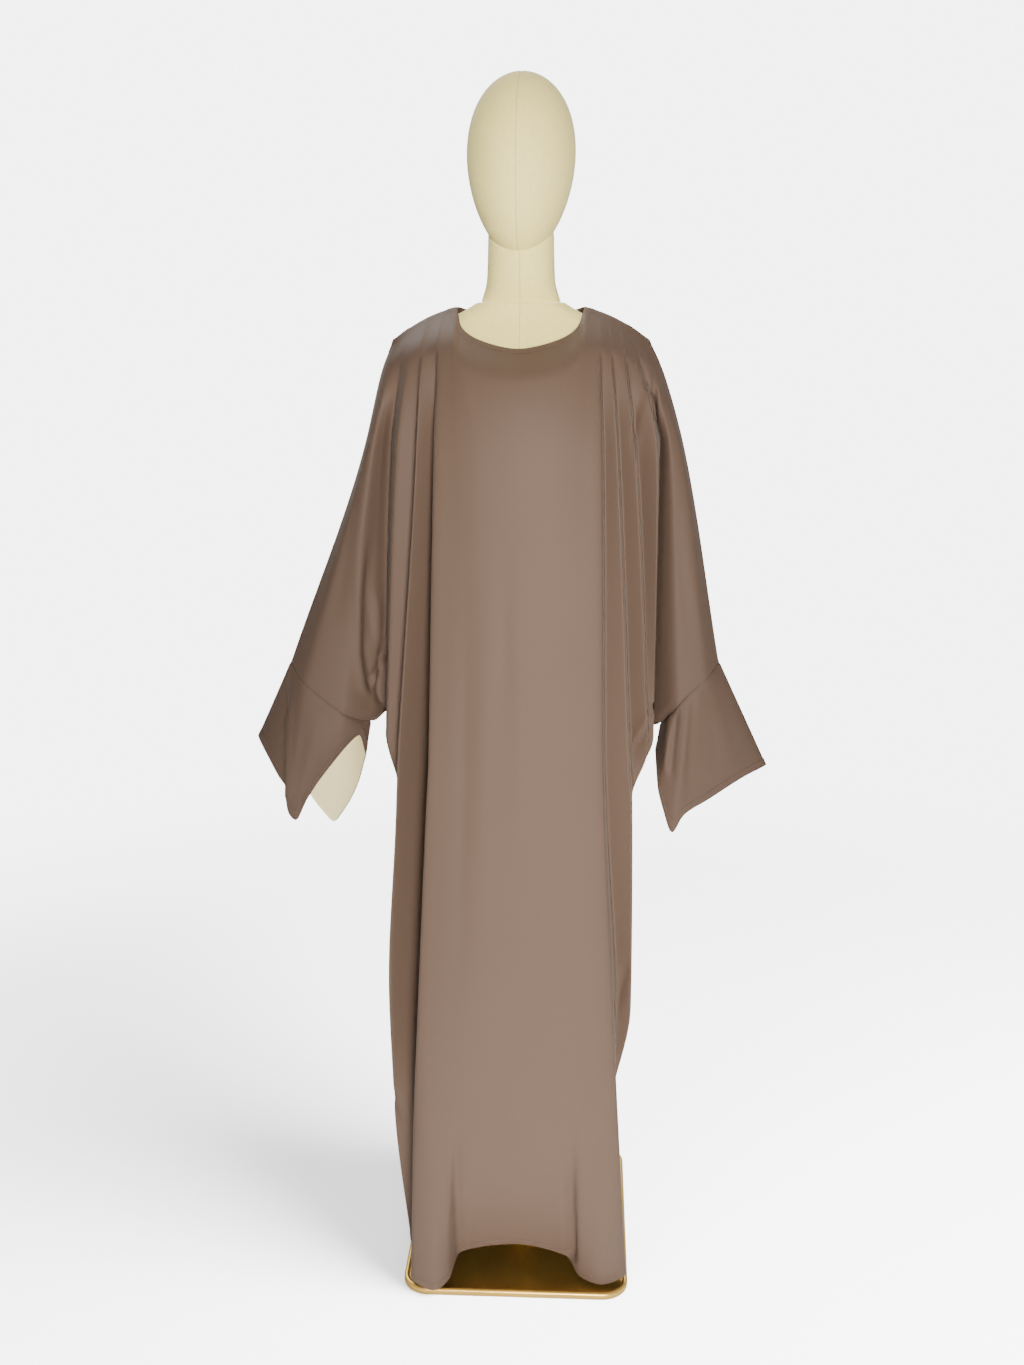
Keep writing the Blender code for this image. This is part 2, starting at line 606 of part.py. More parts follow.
def cloth_wall(cloth, quads, name, outside, inside, group, finish):
    """A closed wall between two depths under the cloth's outer face, trimmed back at its edges."""
    used = sorted({i for quad in quads for i in quad})
    place = {i: k for k, i in enumerate(used)}
    faces = [[place[i] for i in quad] for quad in quads]
    points = cloth.points[used]
    normals = cloth.normals[used]

    edges = {}
    for face in faces:
        for a, b in zip(face, face[1:] + face[:1]):
            edges[(a, b)] = True
    rim = {(a, b) for a, b in edges if (b, a) not in edges}
    shift = trimmed_edges(points, normals, faces, rim)

    mesh = bpy.data.meshes.new(name)
    build = bmesh.new()
    outer = [build.verts.new(p) for p in points - outside * normals + shift]
    inner = [build.verts.new(p) for p in points - inside * normals + shift]
    for a, b, c, d in faces:
        for corners in ((a, b, c), (a, c, d)):
            build.faces.new([outer[i] for i in corners])
            build.faces.new([inner[i] for i in reversed(corners)])
    # Both walls of a seam split its edge quads from the lower numbered point, so that they match.
    for a, b in rim:
        if a < b:
            build.faces.new([outer[b], outer[a], inner[b]])
            build.faces.new([outer[a], inner[a], inner[b]])
        else:
            build.faces.new([outer[b], outer[a], inner[a]])
            build.faces.new([outer[b], inner[a], inner[b]])
    build.to_mesh(mesh)
    build.free()
    return add_object(name, mesh, group, finish)


# ---------------------------------------------------------------- dress form
def lofted_form(name, sections, sides, rings, squareness, group, finish):
    """A closed body through level, slightly square ovals."""
    rows = np.array(sections)
    at = np.linspace(0, len(rows) - 1, rings)
    rows = smooth_through(np.arange(len(rows)), rows, at)
    angle = np.linspace(0, 2 * np.pi, sides, endpoint=False)
    power = 2 / squareness
    across = np.sign(np.cos(angle)) * np.abs(np.cos(angle)) ** power
    along = np.sign(np.sin(angle)) * np.abs(np.sin(angle)) ** power
    mesh = bpy.data.meshes.new(name)
    build = bmesh.new()
    loops = []
    for z, half_width, front, back in rows:
        middle = (front + back) / 2
        half_depth = (back - front) / 2
        loops.append(
            [
                build.verts.new((half_width * a, middle + half_depth * b, z))
                for a, b in zip(across, along)
            ]
        )
    for low, high in zip(loops, loops[1:]):
        for k in range(sides):
            after = (k + 1) % sides
            build.faces.new((low[k], low[after], high[after], high[k]))
    build.faces.new(loops[0][::-1])
    build.faces.new(loops[-1])
    build.to_mesh(mesh)
    build.free()
    return add_object(name, mesh, group, finish)


def egg_mesh(name, grow=1.0):
    """The head's egg: narrower towards the chin, which comes forward."""
    mesh = bpy.data.meshes.new(name)
    build = bmesh.new()
    bmesh.ops.create_uvsphere(build, u_segments=HEAD_SEGMENTS, v_segments=HEAD_RINGS, radius=1.0)
    turn = Matrix.Rotation(np.radians(-HEAD_TURN), 3, "Z")
    centre = Vector(HEAD_CENTRE)
    for vert in build.verts:
        a, b, c = vert.co
        taper = 1 + HEAD_TAPER * c
        x = a * HEAD_HALF[0] * taper
        y = b * HEAD_HALF[1] * taper + CHIN_FORWARD * c
        z = c * HEAD_HALF[2]
        vert.co = centre + turn @ (Vector((x, y, z)) * grow)
    build.to_mesh(mesh)
    build.free()
    return mesh


def make_form(group, cutters):
    linen = material("linen", LINEN, 0.85)
    lofted_form("form_torso", TORSO, TORSO_SIDES, TORSO_RINGS, TORSO_SQUARENESS, group, linen)
    add_object("form_head", egg_mesh("form_head"), group, linen)
    neck = lofted_form("form_neck", NECK, NECK_SIDES, NECK_RINGS, 2.0, group, linen)
    cutter = add_object("head_cutter", egg_mesh("head_cutter", NECK_TO_HEAD), cutters, linen)
    cutter.hide_render = True
    cutter.display_type = "WIRE"
    cut = neck.modifiers.new("seat of the head", "BOOLEAN")
    cut.operation = "DIFFERENCE"
    cut.object = cutter


# ---------------------------------------------------------------- stand
def turned_disc(name, radius, bottom, top, group, finish, edge=TURNED_EDGE):
    bpy.ops.mesh.primitive_cylinder_add(
        vertices=POLE_SIDES, radius=radius, depth=top - bottom, location=(0, 0, (bottom + top) / 2)
    )
    obj = bpy.context.object
    obj.name = name
    obj.data.name = name
    obj.data.materials.append(finish)
    for other in obj.users_collection:
        other.objects.unlink(obj)
    group.objects.link(obj)
    if edge:
        bevel = obj.modifiers.new("soft edge", "BEVEL")
        bevel.width = edge
        bevel.segments = 2
        bevel.limit_method = "ANGLE"
    obj.data.shade_smooth()
    obj.data.set_sharp_from_angle(angle=np.radians(40))
    return obj


def make_plate(group, finish):
    """A box whose upright edges are rounded, with a shallow recess inside a raised rim."""
    bpy.ops.mesh.primitive_cube_add(size=1.0, location=(0, 0, 0))
    plate = bpy.context.object
    plate.name = "base_plate"
    plate.data.name = "base_plate"
    for vert in plate.data.vertices:
        vert.co.x *= PLATE_WIDTH
        vert.co.y *= PLATE_DEPTH
        vert.co.z = (vert.co.z + 0.5) * PLATE_THICK
    build = bmesh.new()
    build.from_mesh(plate.data)
    upright = [e for e in build.edges if abs(e.verts[0].co.z - e.verts[1].co.z) > PLATE_THICK / 2]
    bmesh.ops.bevel(
        build, geom=upright, offset=PLATE_CORNER, segments=CORNER_STEPS, profile=0.5, affect="EDGES"
    )
    top = [face for face in build.faces if face.normal.z > 0.9]
    bmesh.ops.inset_region(build, faces=top, thickness=PLATE_RIM)
    bmesh.ops.inset_region(build, faces=top, thickness=PLATE_RECESS, depth=-PLATE_RECESS)
    build.to_mesh(plate.data)
    build.free()
    plate.data.materials.append(finish)
    for other in plate.users_collection:
        other.objects.unlink(plate)
    group.objects.link(plate)
    bevel = plate.modifiers.new("eased edge", "BEVEL")
    bevel.width = PLATE_EDGE
    bevel.segments = 2
    bevel.limit_method = "ANGLE"
    bevel.angle_limit = np.radians(60)
    return plate


def make_stand(group):
    gold = material("gold metal", GOLD, 0.25, 1.0)
    make_plate(group, gold)
    foot_base = PLATE_THICK - PLATE_RECESS + SEAM_GAP
    foot_top = foot_base + FOOT_HEIGHT
    torso_base = TORSO[0].z
    socket_top = torso_base - SEAM_GAP
    socket_base = socket_top - SOCKET_HEIGHT
    turned_disc("pole_foot", FOOT_RADIUS, foot_base, foot_top, group, gold)
    turned_disc("pole_socket", SOCKET_RADIUS, socket_base, socket_top, group, gold)
    turned_disc("stand_pole", POLE_RADIUS, foot_top + SEAM_GAP, socket_base - SEAM_GAP, group, gold, edge=0)


# ---------------------------------------------------------------- assembly
def main():
    start_clean()
    group = collection("abaya_on_dress_form")
    cutters = collection("cutters")
    crepe = material("taupe satin crepe", TAUPE, 0.55)
    cream = material("cream lining", CREAM, 0.60)
    cloth = make_cloth()
    for name, quads in cloth.quads.items():
        cloth_wall(cloth, quads, name, 0.0, CLOTH, group, crepe)
        if name.startswith("cuff"):
            lining = name.replace("cuff", "cuff_lining")
            below_seam = quads[len(quads) // CUFF_ROWS :]
            start = CLOTH + SEAM_GAP
            cloth_wall(cloth, below_seam, lining, start, start + LINING, group, cream)
    make_form(group, cutters)
    make_stand(group)


main()
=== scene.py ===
"""The looks of a closed batwing abaya with flared, pointed cuffs, worn by a limbless dress form.

Metres, +Z up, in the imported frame: the front faces -Y, and left is -X. The cloth pieces are thin
shells on the lattice that the CAD's walls are made from, sampled more finely and then creased.
"""

from collections import namedtuple

import bmesh
import bpy
import numpy as np
from mathutils import Matrix, Vector
from mathutils.kdtree import KDTree


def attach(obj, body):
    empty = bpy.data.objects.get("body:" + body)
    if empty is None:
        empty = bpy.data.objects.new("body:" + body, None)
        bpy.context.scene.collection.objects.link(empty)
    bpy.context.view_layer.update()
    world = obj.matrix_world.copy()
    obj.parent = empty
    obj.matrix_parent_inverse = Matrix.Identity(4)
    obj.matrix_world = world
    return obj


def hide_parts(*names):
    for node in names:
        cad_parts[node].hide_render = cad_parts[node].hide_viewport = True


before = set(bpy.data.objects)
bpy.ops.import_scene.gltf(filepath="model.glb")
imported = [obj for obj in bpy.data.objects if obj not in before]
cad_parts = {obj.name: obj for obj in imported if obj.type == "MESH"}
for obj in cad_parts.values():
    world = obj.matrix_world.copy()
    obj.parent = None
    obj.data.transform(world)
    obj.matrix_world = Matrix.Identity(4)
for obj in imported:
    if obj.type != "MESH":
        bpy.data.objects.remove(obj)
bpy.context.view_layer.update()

# ---- cloth sizes
CREPE_THICK = 0.0008
LINING_GAP = 0.0004
# How far a cloth lies under the garment's outer face, its thickness, and how far it ends short of
# the hem, with its material slot.
Layer = namedtuple("Layer", "under thick short slot")
CREPE_LAYER = Layer(0.0, CREPE_THICK, 0.0, "taupe_crepe")
LINING_LAYER = Layer(CREPE_THICK + LINING_GAP, 0.0005, 0.0015, "cream_lining")

BUST_Z = 1.25
HIP_Z = 0.845
THIGH_Z = 0.755
KNEE_Z = 0.45
CALF_Z = 0.27
# Distances down the cloth to those heights, and the rows of the lattice between them.
TOP_S = 0.0
CHEST_S = 0.08
BUST_S = 0.22
UNDERARM_S = 0.608
HIP_S = 0.63
THIGH_S = 0.72
KNEE_S = 1.02
CALF_S = 1.20
HEM_S = 1.45
ROWS_TO_HIP = (11, 18, 84, 6)
ROWS_TO_HEM = (12, 36, 22, 32)
# Columns for each of the CAD's, on the body and on the sleeves, and the rows down a cuff.
BODY_FINER = 3
SLEEVE_FINER = 4
CUFF_ROWS = 40
# Further rows and columns at these distances from a seam, and from a hem.
SEAM_STEPS = (0.0010, 0.0026, 0.0046)
HEM_STEPS = (0.0010, 0.0026, 0.0096, 0.0104, 0.0112, 0.0124)
# Other rows and columns keep clear of them by this many times the last step.
STEPS_CLEAR = 1.15
# About how wide one step between two fold lines is, at the side seams and over the arms.
FOLD_STEP = 0.050

# Neck and shoulder seam. In front and behind, the neckline drops and reaches out this far.
NECK_HALF = 0.090
NECK_SIDE_Z = 1.4425
NECK_FRONT = (0.055, 0.085)
NECK_BACK = (0.012, 0.070)
SHOULDER_Y = -0.030
SHOULDER_TIP = 0.178
SHOULDER_TIP_Z = 1.398
SHOULDER_ROUND = 0.007
# Where the cloth has got to at chest height, as parts of the way from its top to the bust.
CHEST_FALL = 0.30
BLADE_FALL = 0.20
CHEST_REACH = 0.66
CHEST_SPREAD = 0.35
# Over the chest this much of a fold is left, on a plain round form of this half width and depth.
FOLD_LEFT = 0.10
ROUND_HALF = 0.235
ROUND_POWER = 0.75
ROUND_FRONT = 0.165
ROUND_BACK = 0.128
UNDERARM_CLOSED = 0.25

# Seams dip into a narrow groove, and hems are turned up: a band a little thicker than the cloth.
SEAM_DIP = 0.0011
SEAM_HALF = 0.0022
SEAM_CALM = 0.0070
HEM_BAND = 0.0104
HEM_RAISE = 0.0005
HEM_SLOPE = 0.0010


# ---- fold tables
def in_metres(kind, rows):
    """Rows of a name, a count of columns and sizes in millimetres, with the sizes in metres."""
    return tuple(kind(name, cols, *(size / 1000 for size in sizes)) for name, cols, *sizes in rows)


# A body fold: cols is its share of lattice columns, top_x its place on the shoulder seam or the
# neckline, and then x and y at the bust, hip, thigh, knee, calf and hem, and the hem's height.
Fold = namedtuple(
    "Fold",
    "name cols top_x bust_x bust_y hip_x hip_y thigh_x thigh_y knee_x knee_y calf_x calf_y"
    " hem_x hem_y hem_z",
)
# fmt: off
FRONT_FOLDS = in_metres(Fold, (
    ("left side", 3, -150, -182, -52, -199, -30, -182, -36, -200, -45, -199, -32, -172, -10, 22),
    ("left outer ridge", 2, -143, -164, -116, -187, -114, -172, -100, -192, -90,
     -191, -70, -174, -45, 21),
    ("left outer valley", 2, -131, -139, -115, -170, -114, -173, -122, -191, -118,
     -188, -98, -171, -70, 20),
    ("left inner ridge", 3, -126, -135, -149, -165, -158, -170, -152, -186, -142,
     -186, -122, -168, -97, 19),
    ("left inner valley", 3, -109, -113, -132, -123, -114, -128, -110, -145, -106,
     -154, -116, -151, -112, 18),
    ("left panel edge", 2, -105, -109, -171, -118, -203, -123, -204, -139, -205,
     -148, -203, -157, -194, 23),
    ("left lobe", 2, -90, -86, -180, -95, -208, -100, -209, -114, -212, -122, -213, -122, -213, 14.5),
    ("left lobe turn", 2, -80, -66, -186, -72, -211, -76, -212, -88, -215, -96, -213, -100, -198, 22),
    ("left crease", 3, -62, -46, -190, -50, -214, -54, -215, -66, -217, -74, -211, -86, -160, 43),
    ("centre front", 3, 0, 0, -193, 0, -216, 0, -217, 0, -218, 0, -211, 0, -148, 53),
    ("right crease", 2, 62, 46, -190, 50, -214, 53, -215, 62, -216, 70, -209, 79, -156, 38),
    ("right lobe turn", 2, 80, 68, -186, 72, -211, 76, -212, 88, -213, 94, -208, 97, -174, 19),
    ("right lobe", 2, 90, 88, -181, 95, -208, 100, -209, 114, -210, 122, -205, 130, -187, 14.5),
    ("right panel edge", 2, 105, 113, -172, 120, -202, 124, -202, 141, -199, 152, -192, 167, -168, 21),
    ("right first valley", 2, 109, 117, -146, 124, -163, 128, -157, 146, -147, 147, -136, 147, -124, 19),
    ("right second ridge", 2, 119, 134, -155, 156, -173, 162, -168, 166, -156, 141, -126, 142, -104, 20),
    ("right second valley", 2, 123, 138, -130, 160, -130, 164, -134, 168, -128, 138, -108, 138, -90, 21),
    ("right third ridge", 2, 133, 158, -142, 184, -140, 163, -114, 168, -107, 137, -92, 136, -75, 21),
    ("right third valley", 2, 137, 162, -107, 187, -92, 165, -88, 170, -80, 136, -68, 134, -56, 22),
    ("right outer ridge", 3, 146, 189, -123, 194, -90, 165, -64, 169, -54, 134, -46, 132, -34, 22),
    ("right side", 0, 150, 195, -45, 193, -25, 164, -34, 166, -30, 131, -20, 128, -10, 22),
))
BACK_FOLDS = in_metres(Fold, (
    ("left side", 4, -150, -184, 12, -199, -30, -182, -36, -200, -45, -199, -32, -172, -10, 22),
    ("left outer ridge", 4, -138, -172, 50, -180, 42, -178, 40, -184, 48, -178, 58, -160, 68, 22),
    ("left outer valley", 4, -122, -142, 66, -142, 52, -142, 50, -146, 48, -142, 54, -132, 60, 23),
    ("left inner ridge", 3, -106, -110, 90, -112, 96, -112, 98, -115, 106, -113, 114, -108, 122, 22),
    ("left inner valley", 2, -90, -76, 92, -73, 86, -73, 84, -75, 82, -75, 86, -72, 92, 23),
    ("left centre ridge", 2, -55, -40, 102, -36, 112, -36, 115, -36, 121, -36, 126, -36, 132, 22),
    ("centre back", 2, 0, 0, 100, 2, 98, 2, 98, 3, 100, 3, 102, 2, 106, 23),
    ("right centre ridge", 2, 55, 41, 102, 41, 115, 41, 118, 43, 124, 43, 128, 42, 133, 22),
    ("right inner valley", 4, 90, 78, 92, 78, 84, 78, 82, 79, 80, 77, 84, 74, 90, 23),
    ("right inner ridge", 4, 106, 112, 88, 113, 93, 110, 94, 112, 102, 104, 108, 99, 114, 22),
    ("right outer valley", 5, 122, 145, 64, 144, 50, 136, 48, 136, 48, 120, 52, 112, 56, 23),
    ("right outer ridge", 4, 138, 178, 46, 180, 36, 160, 34, 162, 36, 134, 42, 128, 46, 22),
    ("right side", 0, 150, 193, 12, 193, -25, 164, -34, 166, -30, 131, -20, 128, -10, 22),
))
# fmt: on

# A sleeve line: its share of columns, its place on the shoulder seam, x and y at bust height in the
# front and the back half, and its end at the cuff seam in each half.
SleeveLine = namedtuple(
    "SleeveLine",
    "name cols top_x bust_x front_y back_y end_x end_front_y end_back_y end_z",
)
SLEEVE_RIGHT = in_metres(SleeveLine, (
    ("cuff inner end", 3, 155, 201, -64, 8, 205, -45, -45, 854),
    ("inner third", 4, 162, 209, -72, 10, 230, -82, -12, 892),
    ("outer third", 3, 170, 223, -62, 0, 264, -78, -16, 924),
    ("overarm seam", 0, 178, 231, -32, -32, 288, -45, -45, 946),
))
SLEEVE_LEFT = in_metres(SleeveLine, (
    ("cuff inner end", 3, -155, -193, -66, 6, -218, -50, -50, 852),
    ("inner third", 4, -162, -204, -76, 8, -257, -92, -18, 876),
    ("outer third", 3, -170, -214, -66, 0, -304, -88, -18, 912),
    ("overarm seam", 0, -178, -222, -34, -34, -335, -50, -50, 940),
))
UNDERARM_COLS = 2
SIDE_LINES = ("left side", "right side")
# The cloth at the top of the gap under the left arm hangs this much higher than beside it.
UNDERARM_LIFT = {"left side": 0.018, "left outer ridge": 0.004}

# A cuff line runs from the cuff seam to the pointed hem: its step round the cuff, in CAD columns
# from the inner end, its push off the straight line half way down, and its hem end.
CuffLine = namedtuple("CuffLine", "name column push_x push_y hem_x hem_y hem_z")
CUFF_RIGHT = in_metres(CuffLine, (
    ("inner notch", 0, 0, 0, 199, -44, 812),
    ("front inner", 3, 0, -4, 202, -78, 766),
    ("front slope", 4, 0, -6, 211, -83, 731),
    ("front point", 5, 0, -8, 224, -86, 699),
    ("front rise", 6, 0, -2, 241, -84, 726),
    ("front crease", 7, 0, 4, 275, -72, 745),
    ("front outer", 9, 0, -4, 330, -52, 776),
    ("outer corner", 10, 0, 0, 362, -38, 790),
    ("back outer", 11, 0, 4, 332, -18, 776),
    ("back wave", 13, 0, 6, 280, 0, 742),
    ("back point", 15, 0, 8, 236, 6, 704),
    ("back inner", 17, 0, 4, 210, -8, 762),
))
CUFF_LEFT = in_metres(CuffLine, (
    ("inner notch", 0, 0, 0, -228, -46, 798),
    ("front inner", 1, 0, -4, -234, -66, 835),
    ("front slope", 4, 0, -6, -289, -80, 774),
    ("front roll", 5, 0, -7, -312, -81, 739),
    ("front point", 6, 0, -8, -329, -81, 707),
    ("front turn", 7, 0, -7, -340, -80, 718),
    ("front fold", 8, 0, -6, -346, -74, 748),
    ("outer corner", 10, 0, 4, -393, -22, 820),
    ("back outer", 12, 0, 8, -348, 14, 752),
    ("back turn", 14, 0, 10, -306, 13, 690),
    ("back point", 15, 0, 10, -289, 10, 674),
    ("back slope", 16, 0, 9, -275, 4, 690),
    ("back inner", 18, 0, 4, -247, -16, 741),
))

# ---- form and stand sizes
# The form's level ovals: height, half width, and how far the front and the back reach.
Section = namedtuple("Section", "z half_width front back")
TORSO = (
    Section(0.790, 0.114, -0.094, 0.072),
    Section(0.860, 0.122, -0.102, 0.074),
    Section(1.010, 0.106, -0.094, 0.056),
    Section(1.110, 0.110, -0.104, 0.056),
    Section(1.240, 0.130, -0.130, 0.062),
    Section(1.330, 0.146, -0.108, 0.058),
    Section(1.3804, 0.154, -0.086, 0.034),
    Section(1.4064, 0.140, -0.072, 0.014),
    Section(1.4224, 0.112, -0.064, 0.004),
    Section(1.4363, 0.080, -0.060, 0.002),
    Section(1.448, 0.060, -0.058, 0.012),
)
TORSO_SQUARENESS = 2.3
TORSO_RINGS = 90
NECK = (
    Section(1.4483, 0.055, -0.056, 0.014),
    Section(1.480, 0.047, -0.064, 0.020),
    Section(1.540, 0.045, -0.066, 0.022),
)
NECK_SQUARENESS = 2.0
NECK_RINGS = 60
FORM_SIDES = 96
FORM_SHARP = 50.0
HEAD_CENTRE = (0.0, -0.022, 1.629)
HEAD_HALF = (0.0730, 0.094, 0.121)
HEAD_TAPER = 0.13
CHIN_FORWARD = 0.016
HEAD_TURN = 4.0
HEAD_SEGMENTS = 144
HEAD_RINGS = 90
COVER_SEAM_BOW = 0.003
COVER_SEAM_HALF = 0.0016
COVER_SEAM_DIP = 0.0005

PLATE_WIDTH = 0.340
PLATE_DEPTH = 0.410
PLATE_THICK = 0.011
PLATE_CORNER = 0.040
PLATE_EDGE = 0.0025
PLATE_EASING = 0.3
PLATE_RIM = 0.008
PLATE_RECESS = 0.002
PLATE_FIELD_STEP = 0.001
PLATE_SHARP = 35.0
PLATE_CORNER_STEPS = 16
PLATE_BEAD_STEPS = 17

STITCH_PITCH = 0.0030
STITCH_LENGTH = 0.0021
STITCH_THREAD = 0.0004
STITCH_PROUD = 0.0001
STITCH_SHORTEST = 0.86
THREAD_SIDES = 6

# The cut of each cloth piece: its flat width and length, its flat area, and what it hangs from.
Cut = namedtuple("Cut", "flat area rests_on")

# ---- colours, lamps and camera
TAUPE = (0.112, 0.0740, 0.0535)
THREAD = (0.150, 0.104, 0.080)
CREAM = (0.960, 0.840, 0.460)
LINEN = (0.960, 0.830, 0.300)
GOLD = (0.860, 0.540, 0.130)
GOLD_ROUGHNESS = 0.34
BRUSH_LINE = 0.0005
BRUSH_STROKE = 0.030
# The size of a patch and how much it changes: in the gold's tone, and in how smeared it is.
GOLD_TONE = (0.12, 0.20)
GOLD_SMEARS = (0.05, 0.90)
GOLD_BUMP = (0.00002, 0.35)
THREAD_TWIST = 0.0004
THREAD_SHADE = 0.25

# A dark hairline on a cloth, where one of its kept distances equals place. On the crepe it is
# painted shade; on the linen it is the dark line of its seam.
Line = namedtuple("Line", "distance place half_width depth")
# A cloth's yarns: their width, the length of their slubs, and how much their shade differs. Then
# the size and the change of its soft patches, its bump, and its hairlines.
Look = namedtuple("Look", "colour yarn slub uneven patch change bump_depth bump_strength lines")
# Painted shade on the crepe: a dark hairline in each seam's pressed groove, and one at the step where
# the turned-up hem band ends.
CREPE_PAINTED_SHADE_LINES = (
    Line("seam_distance", 0.0, 0.00132, 0.26),
    Line("hem_distance", HEM_BAND, HEM_SLOPE, 0.14),
)
LINEN_LINES = (Line("cover_seam", 0.0, 0.0008, 0.35),)
CREPE_LOOK = Look(TAUPE, 0.00045, 0.004, 0.30, 0.22, 0.10, 0.00012, 0.55, CREPE_PAINTED_SHADE_LINES)
LINING_LOOK = Look(CREAM, 0.00035, 0.003, 0.20, 0.06, 0.08, 0.00008, 0.5, ())
LINEN_LOOK = Look(LINEN, 0.0008, 0.007, 0.55, 0.05, 0.06, 0.00025, 0.6, LINEN_LINES)

FLOOR_COLOUR = (0.80, 0.80, 0.81)
FLOOR_LIT_BACK = (0.26, 0.26, 0.26)
FLOOR_MIRRORED = (0.11, 0.11, 0.11)
FLOOR_HALF = 6.0
FLOOR_FADE = (1.0, 2.6)
BACKDROP = (0.96, 0.965, 0.975)
BACKDROP_GLOW = 5.9
SKY = (1.0, 0.94, 0.88)
SKY_GLOW = 0.24
MIRRORED_GLOW = 0.55

Lamp = namedtuple("Lamp", "name place aim width height spread watts colour floor_only")
LAMPS = (
    Lamp("key", (0.42, -2.8, 1.15), (0.0, 0.0, 0.90), 0.5, 2.1, 21, 8.0, (1.0, 0.95, 0.89), False),
    Lamp("fill", (-0.2, -3.0, 1.25), (0.0, 0.0, 0.75), 2.6, 1.6, 180, 15.5, (1.0, 0.97, 0.94), False),
    Lamp("back", (-0.6, 2.6, 3.1), (0.0, 0.0, 0.9), 2.6, 2.0, 180, 120.0, (1.0, 1.0, 1.0), False),
    Lamp("floor", (2.5, -1.4, 3.4), (0.0, 0.0, 0.2), 2.6, 2.6, 180, 1850.0, (1.0, 1.0, 1.0), True),
    Lamp("floor fill", (-1.6, -2.6, 3.6), (0.0, 0.2, 0.0), 3.0, 3.0, 180, 400.0, (1.0, 1.0, 1.0), True),
)

CAMERA_LENS = 39.56
CAMERA_SENSOR = 36.0
CAMERA_REACH = 2.125
CAMERA_ROUND = 2.5
CAMERA_AIM_Y = -0.04
CAMERA_HEIGHT = 1.44
CAMERA_FALL = 14.0
CAMERA_TURN = 2.815

# ---- creases
# A crease is a line over the cloth, given by its (x, z) points: a trough, a ridge, or a step,
# whose cloth stands proud on the left of the line as it runs and sinks on its right. It fades over
# its first and last parts, start_fade and end_fade. Widths, depths and points are in millimetres.
Crease = namedtuple("Crease", "kind width depth start_fade end_fade path")
STEP_PEAK = 1.65
STEP_SPREAD = 1.4
FRONT_CREASES = (
    # the left sleeve, folded over the slack under the arm
    Crease("step", 6, -5.5, 0.45, 0.1,
           ((-212, 1140), (-222, 1050), (-225.5, 960), (-221, 912), (-213, 890))),
    Crease("trough", 3.8, 5, 0.3, 0.2, ((-187, 972), (-202, 940), (-217, 910))),
    Crease("ridge", 4, 3.5, 0.3, 0.2, ((-189, 957), (-203, 928), (-216, 902))),
    Crease("trough", 4, 8.5, 0.25, 0.25,
           ((-200, 975), (-199, 945), (-203, 918), (-205, 892), (-198, 866))),
    Crease("trough", 4.5, 3, 0.4, 0.4, ((-214, 1070), (-212, 1000), (-209, 950))),
    Crease("ridge", 6, 3, 0.4, 0.4, ((-203, 1060), (-205, 990), (-208, 940))),
    # the right side, where the slack under the arm swings back to the body
    Crease("step", 3, -2.8, 0.2, 0.2, ((194, 902), (177, 868), (160, 835))),
    Crease("ridge", 2.2, 1.2, 0.25, 0.25, ((190, 905), (173, 871), (157, 838))),
    Crease("trough", 5, 3.5, 0.35, 0.35, ((163, 535), (152, 488), (142, 430))),
    Crease("trough", 4, 4, 0.3, 0.3, ((-193, 300), (-178, 262), (-166, 220))),
    # the hem's two lobes and the creases that rise from them
    Crease("trough", 5.5, 3.6, 0.6, 0.05, ((-82, 330), (-86, 200), (-86.5, 110), (-86, 40))),
    Crease("ridge", 8, 2.2, 0.6, 0.05, ((-70, 300), (-73, 180), (-74, 50))),
    Crease("trough", 8, 7, 0.6, 0.05, ((84, 330), (83, 200), (81, 120), (83, 35))),
    Crease("trough", 4, 3, 0.5, 0.1, ((89, 150), (86, 100), (86, 40))),
    Crease("ridge", 6, 2.4, 0.5, 0.1, ((73, 210), (73, 120), (75, 45))),
    # long faint waves down the middle of the front
    Crease("trough", 11, 1.2, 0.45, 0.45, ((-62, 1180), (-66, 900), (-74, 600), (-82, 330))),
    Crease("ridge", 12, 1, 0.45, 0.45, ((-36, 1230), (-38, 980), (-44, 700), (-50, 420))),
    Crease("trough", 8, 0.9, 0.45, 0.45, ((-12, 1200), (-13, 1020), (-16, 840))),
    Crease("ridge", 9, 0.8, 0.45, 0.45, ((6, 1100), (7, 900), (8, 680))),
    Crease("trough", 13, 1.1, 0.45, 0.45, ((52, 1220), (55, 900), (62, 560), (70, 300))),
    Crease("trough", 7, 1, 0.45, 0.45, ((-30, 420), (-34, 300), (-36, 180))),
    Crease("ridge", 8, 0.9, 0.45, 0.45, ((28, 460), (34, 300), (38, 140))),
    # the two folds that start at the right shoulder
    Crease("step", 3.6, 2.8, 0.15, 0.35,
           ((178, 1352), (170, 1325), (162, 1295), (158, 1265), (160, 1225))),
    Crease("step", 3.6, 2.6, 0.15, 0.35, ((187, 1362), (188, 1325), (191, 1280), (192, 1230))),
    # soft drags on the sleeves
    Crease("trough", 12, 2.2, 0.4, 0.4, ((-216, 1260), (-244, 1100), (-272, 960))),
    Crease("ridge", 11, 1.8, 0.4, 0.4, ((-206, 1240), (-226, 1110), (-246, 960))),
    Crease("trough", 10, 2, 0.4, 0.4, ((214, 1240), (230, 1090), (246, 950))),
    Crease("ridge", 10, 1.6, 0.4, 0.4, ((224, 1180), (246, 1040), (266, 940))),
    # the shoulders and the neckline
    Crease("trough", 10, 1.6, 0.3, 0.5, ((-128, 1425), (-120, 1370), (-104, 1300))),
    Crease("trough", 9, 1.4, 0.3, 0.5, ((132, 1422), (124, 1370), (112, 1310))),
    Crease("trough", 8, 1, 0.3, 0.6, ((-66, 1398), (-58, 1350), (-44, 1290))),
    Crease("trough", 8, 1, 0.3, 0.6, ((64, 1398), (52, 1340), (40, 1280))),
)
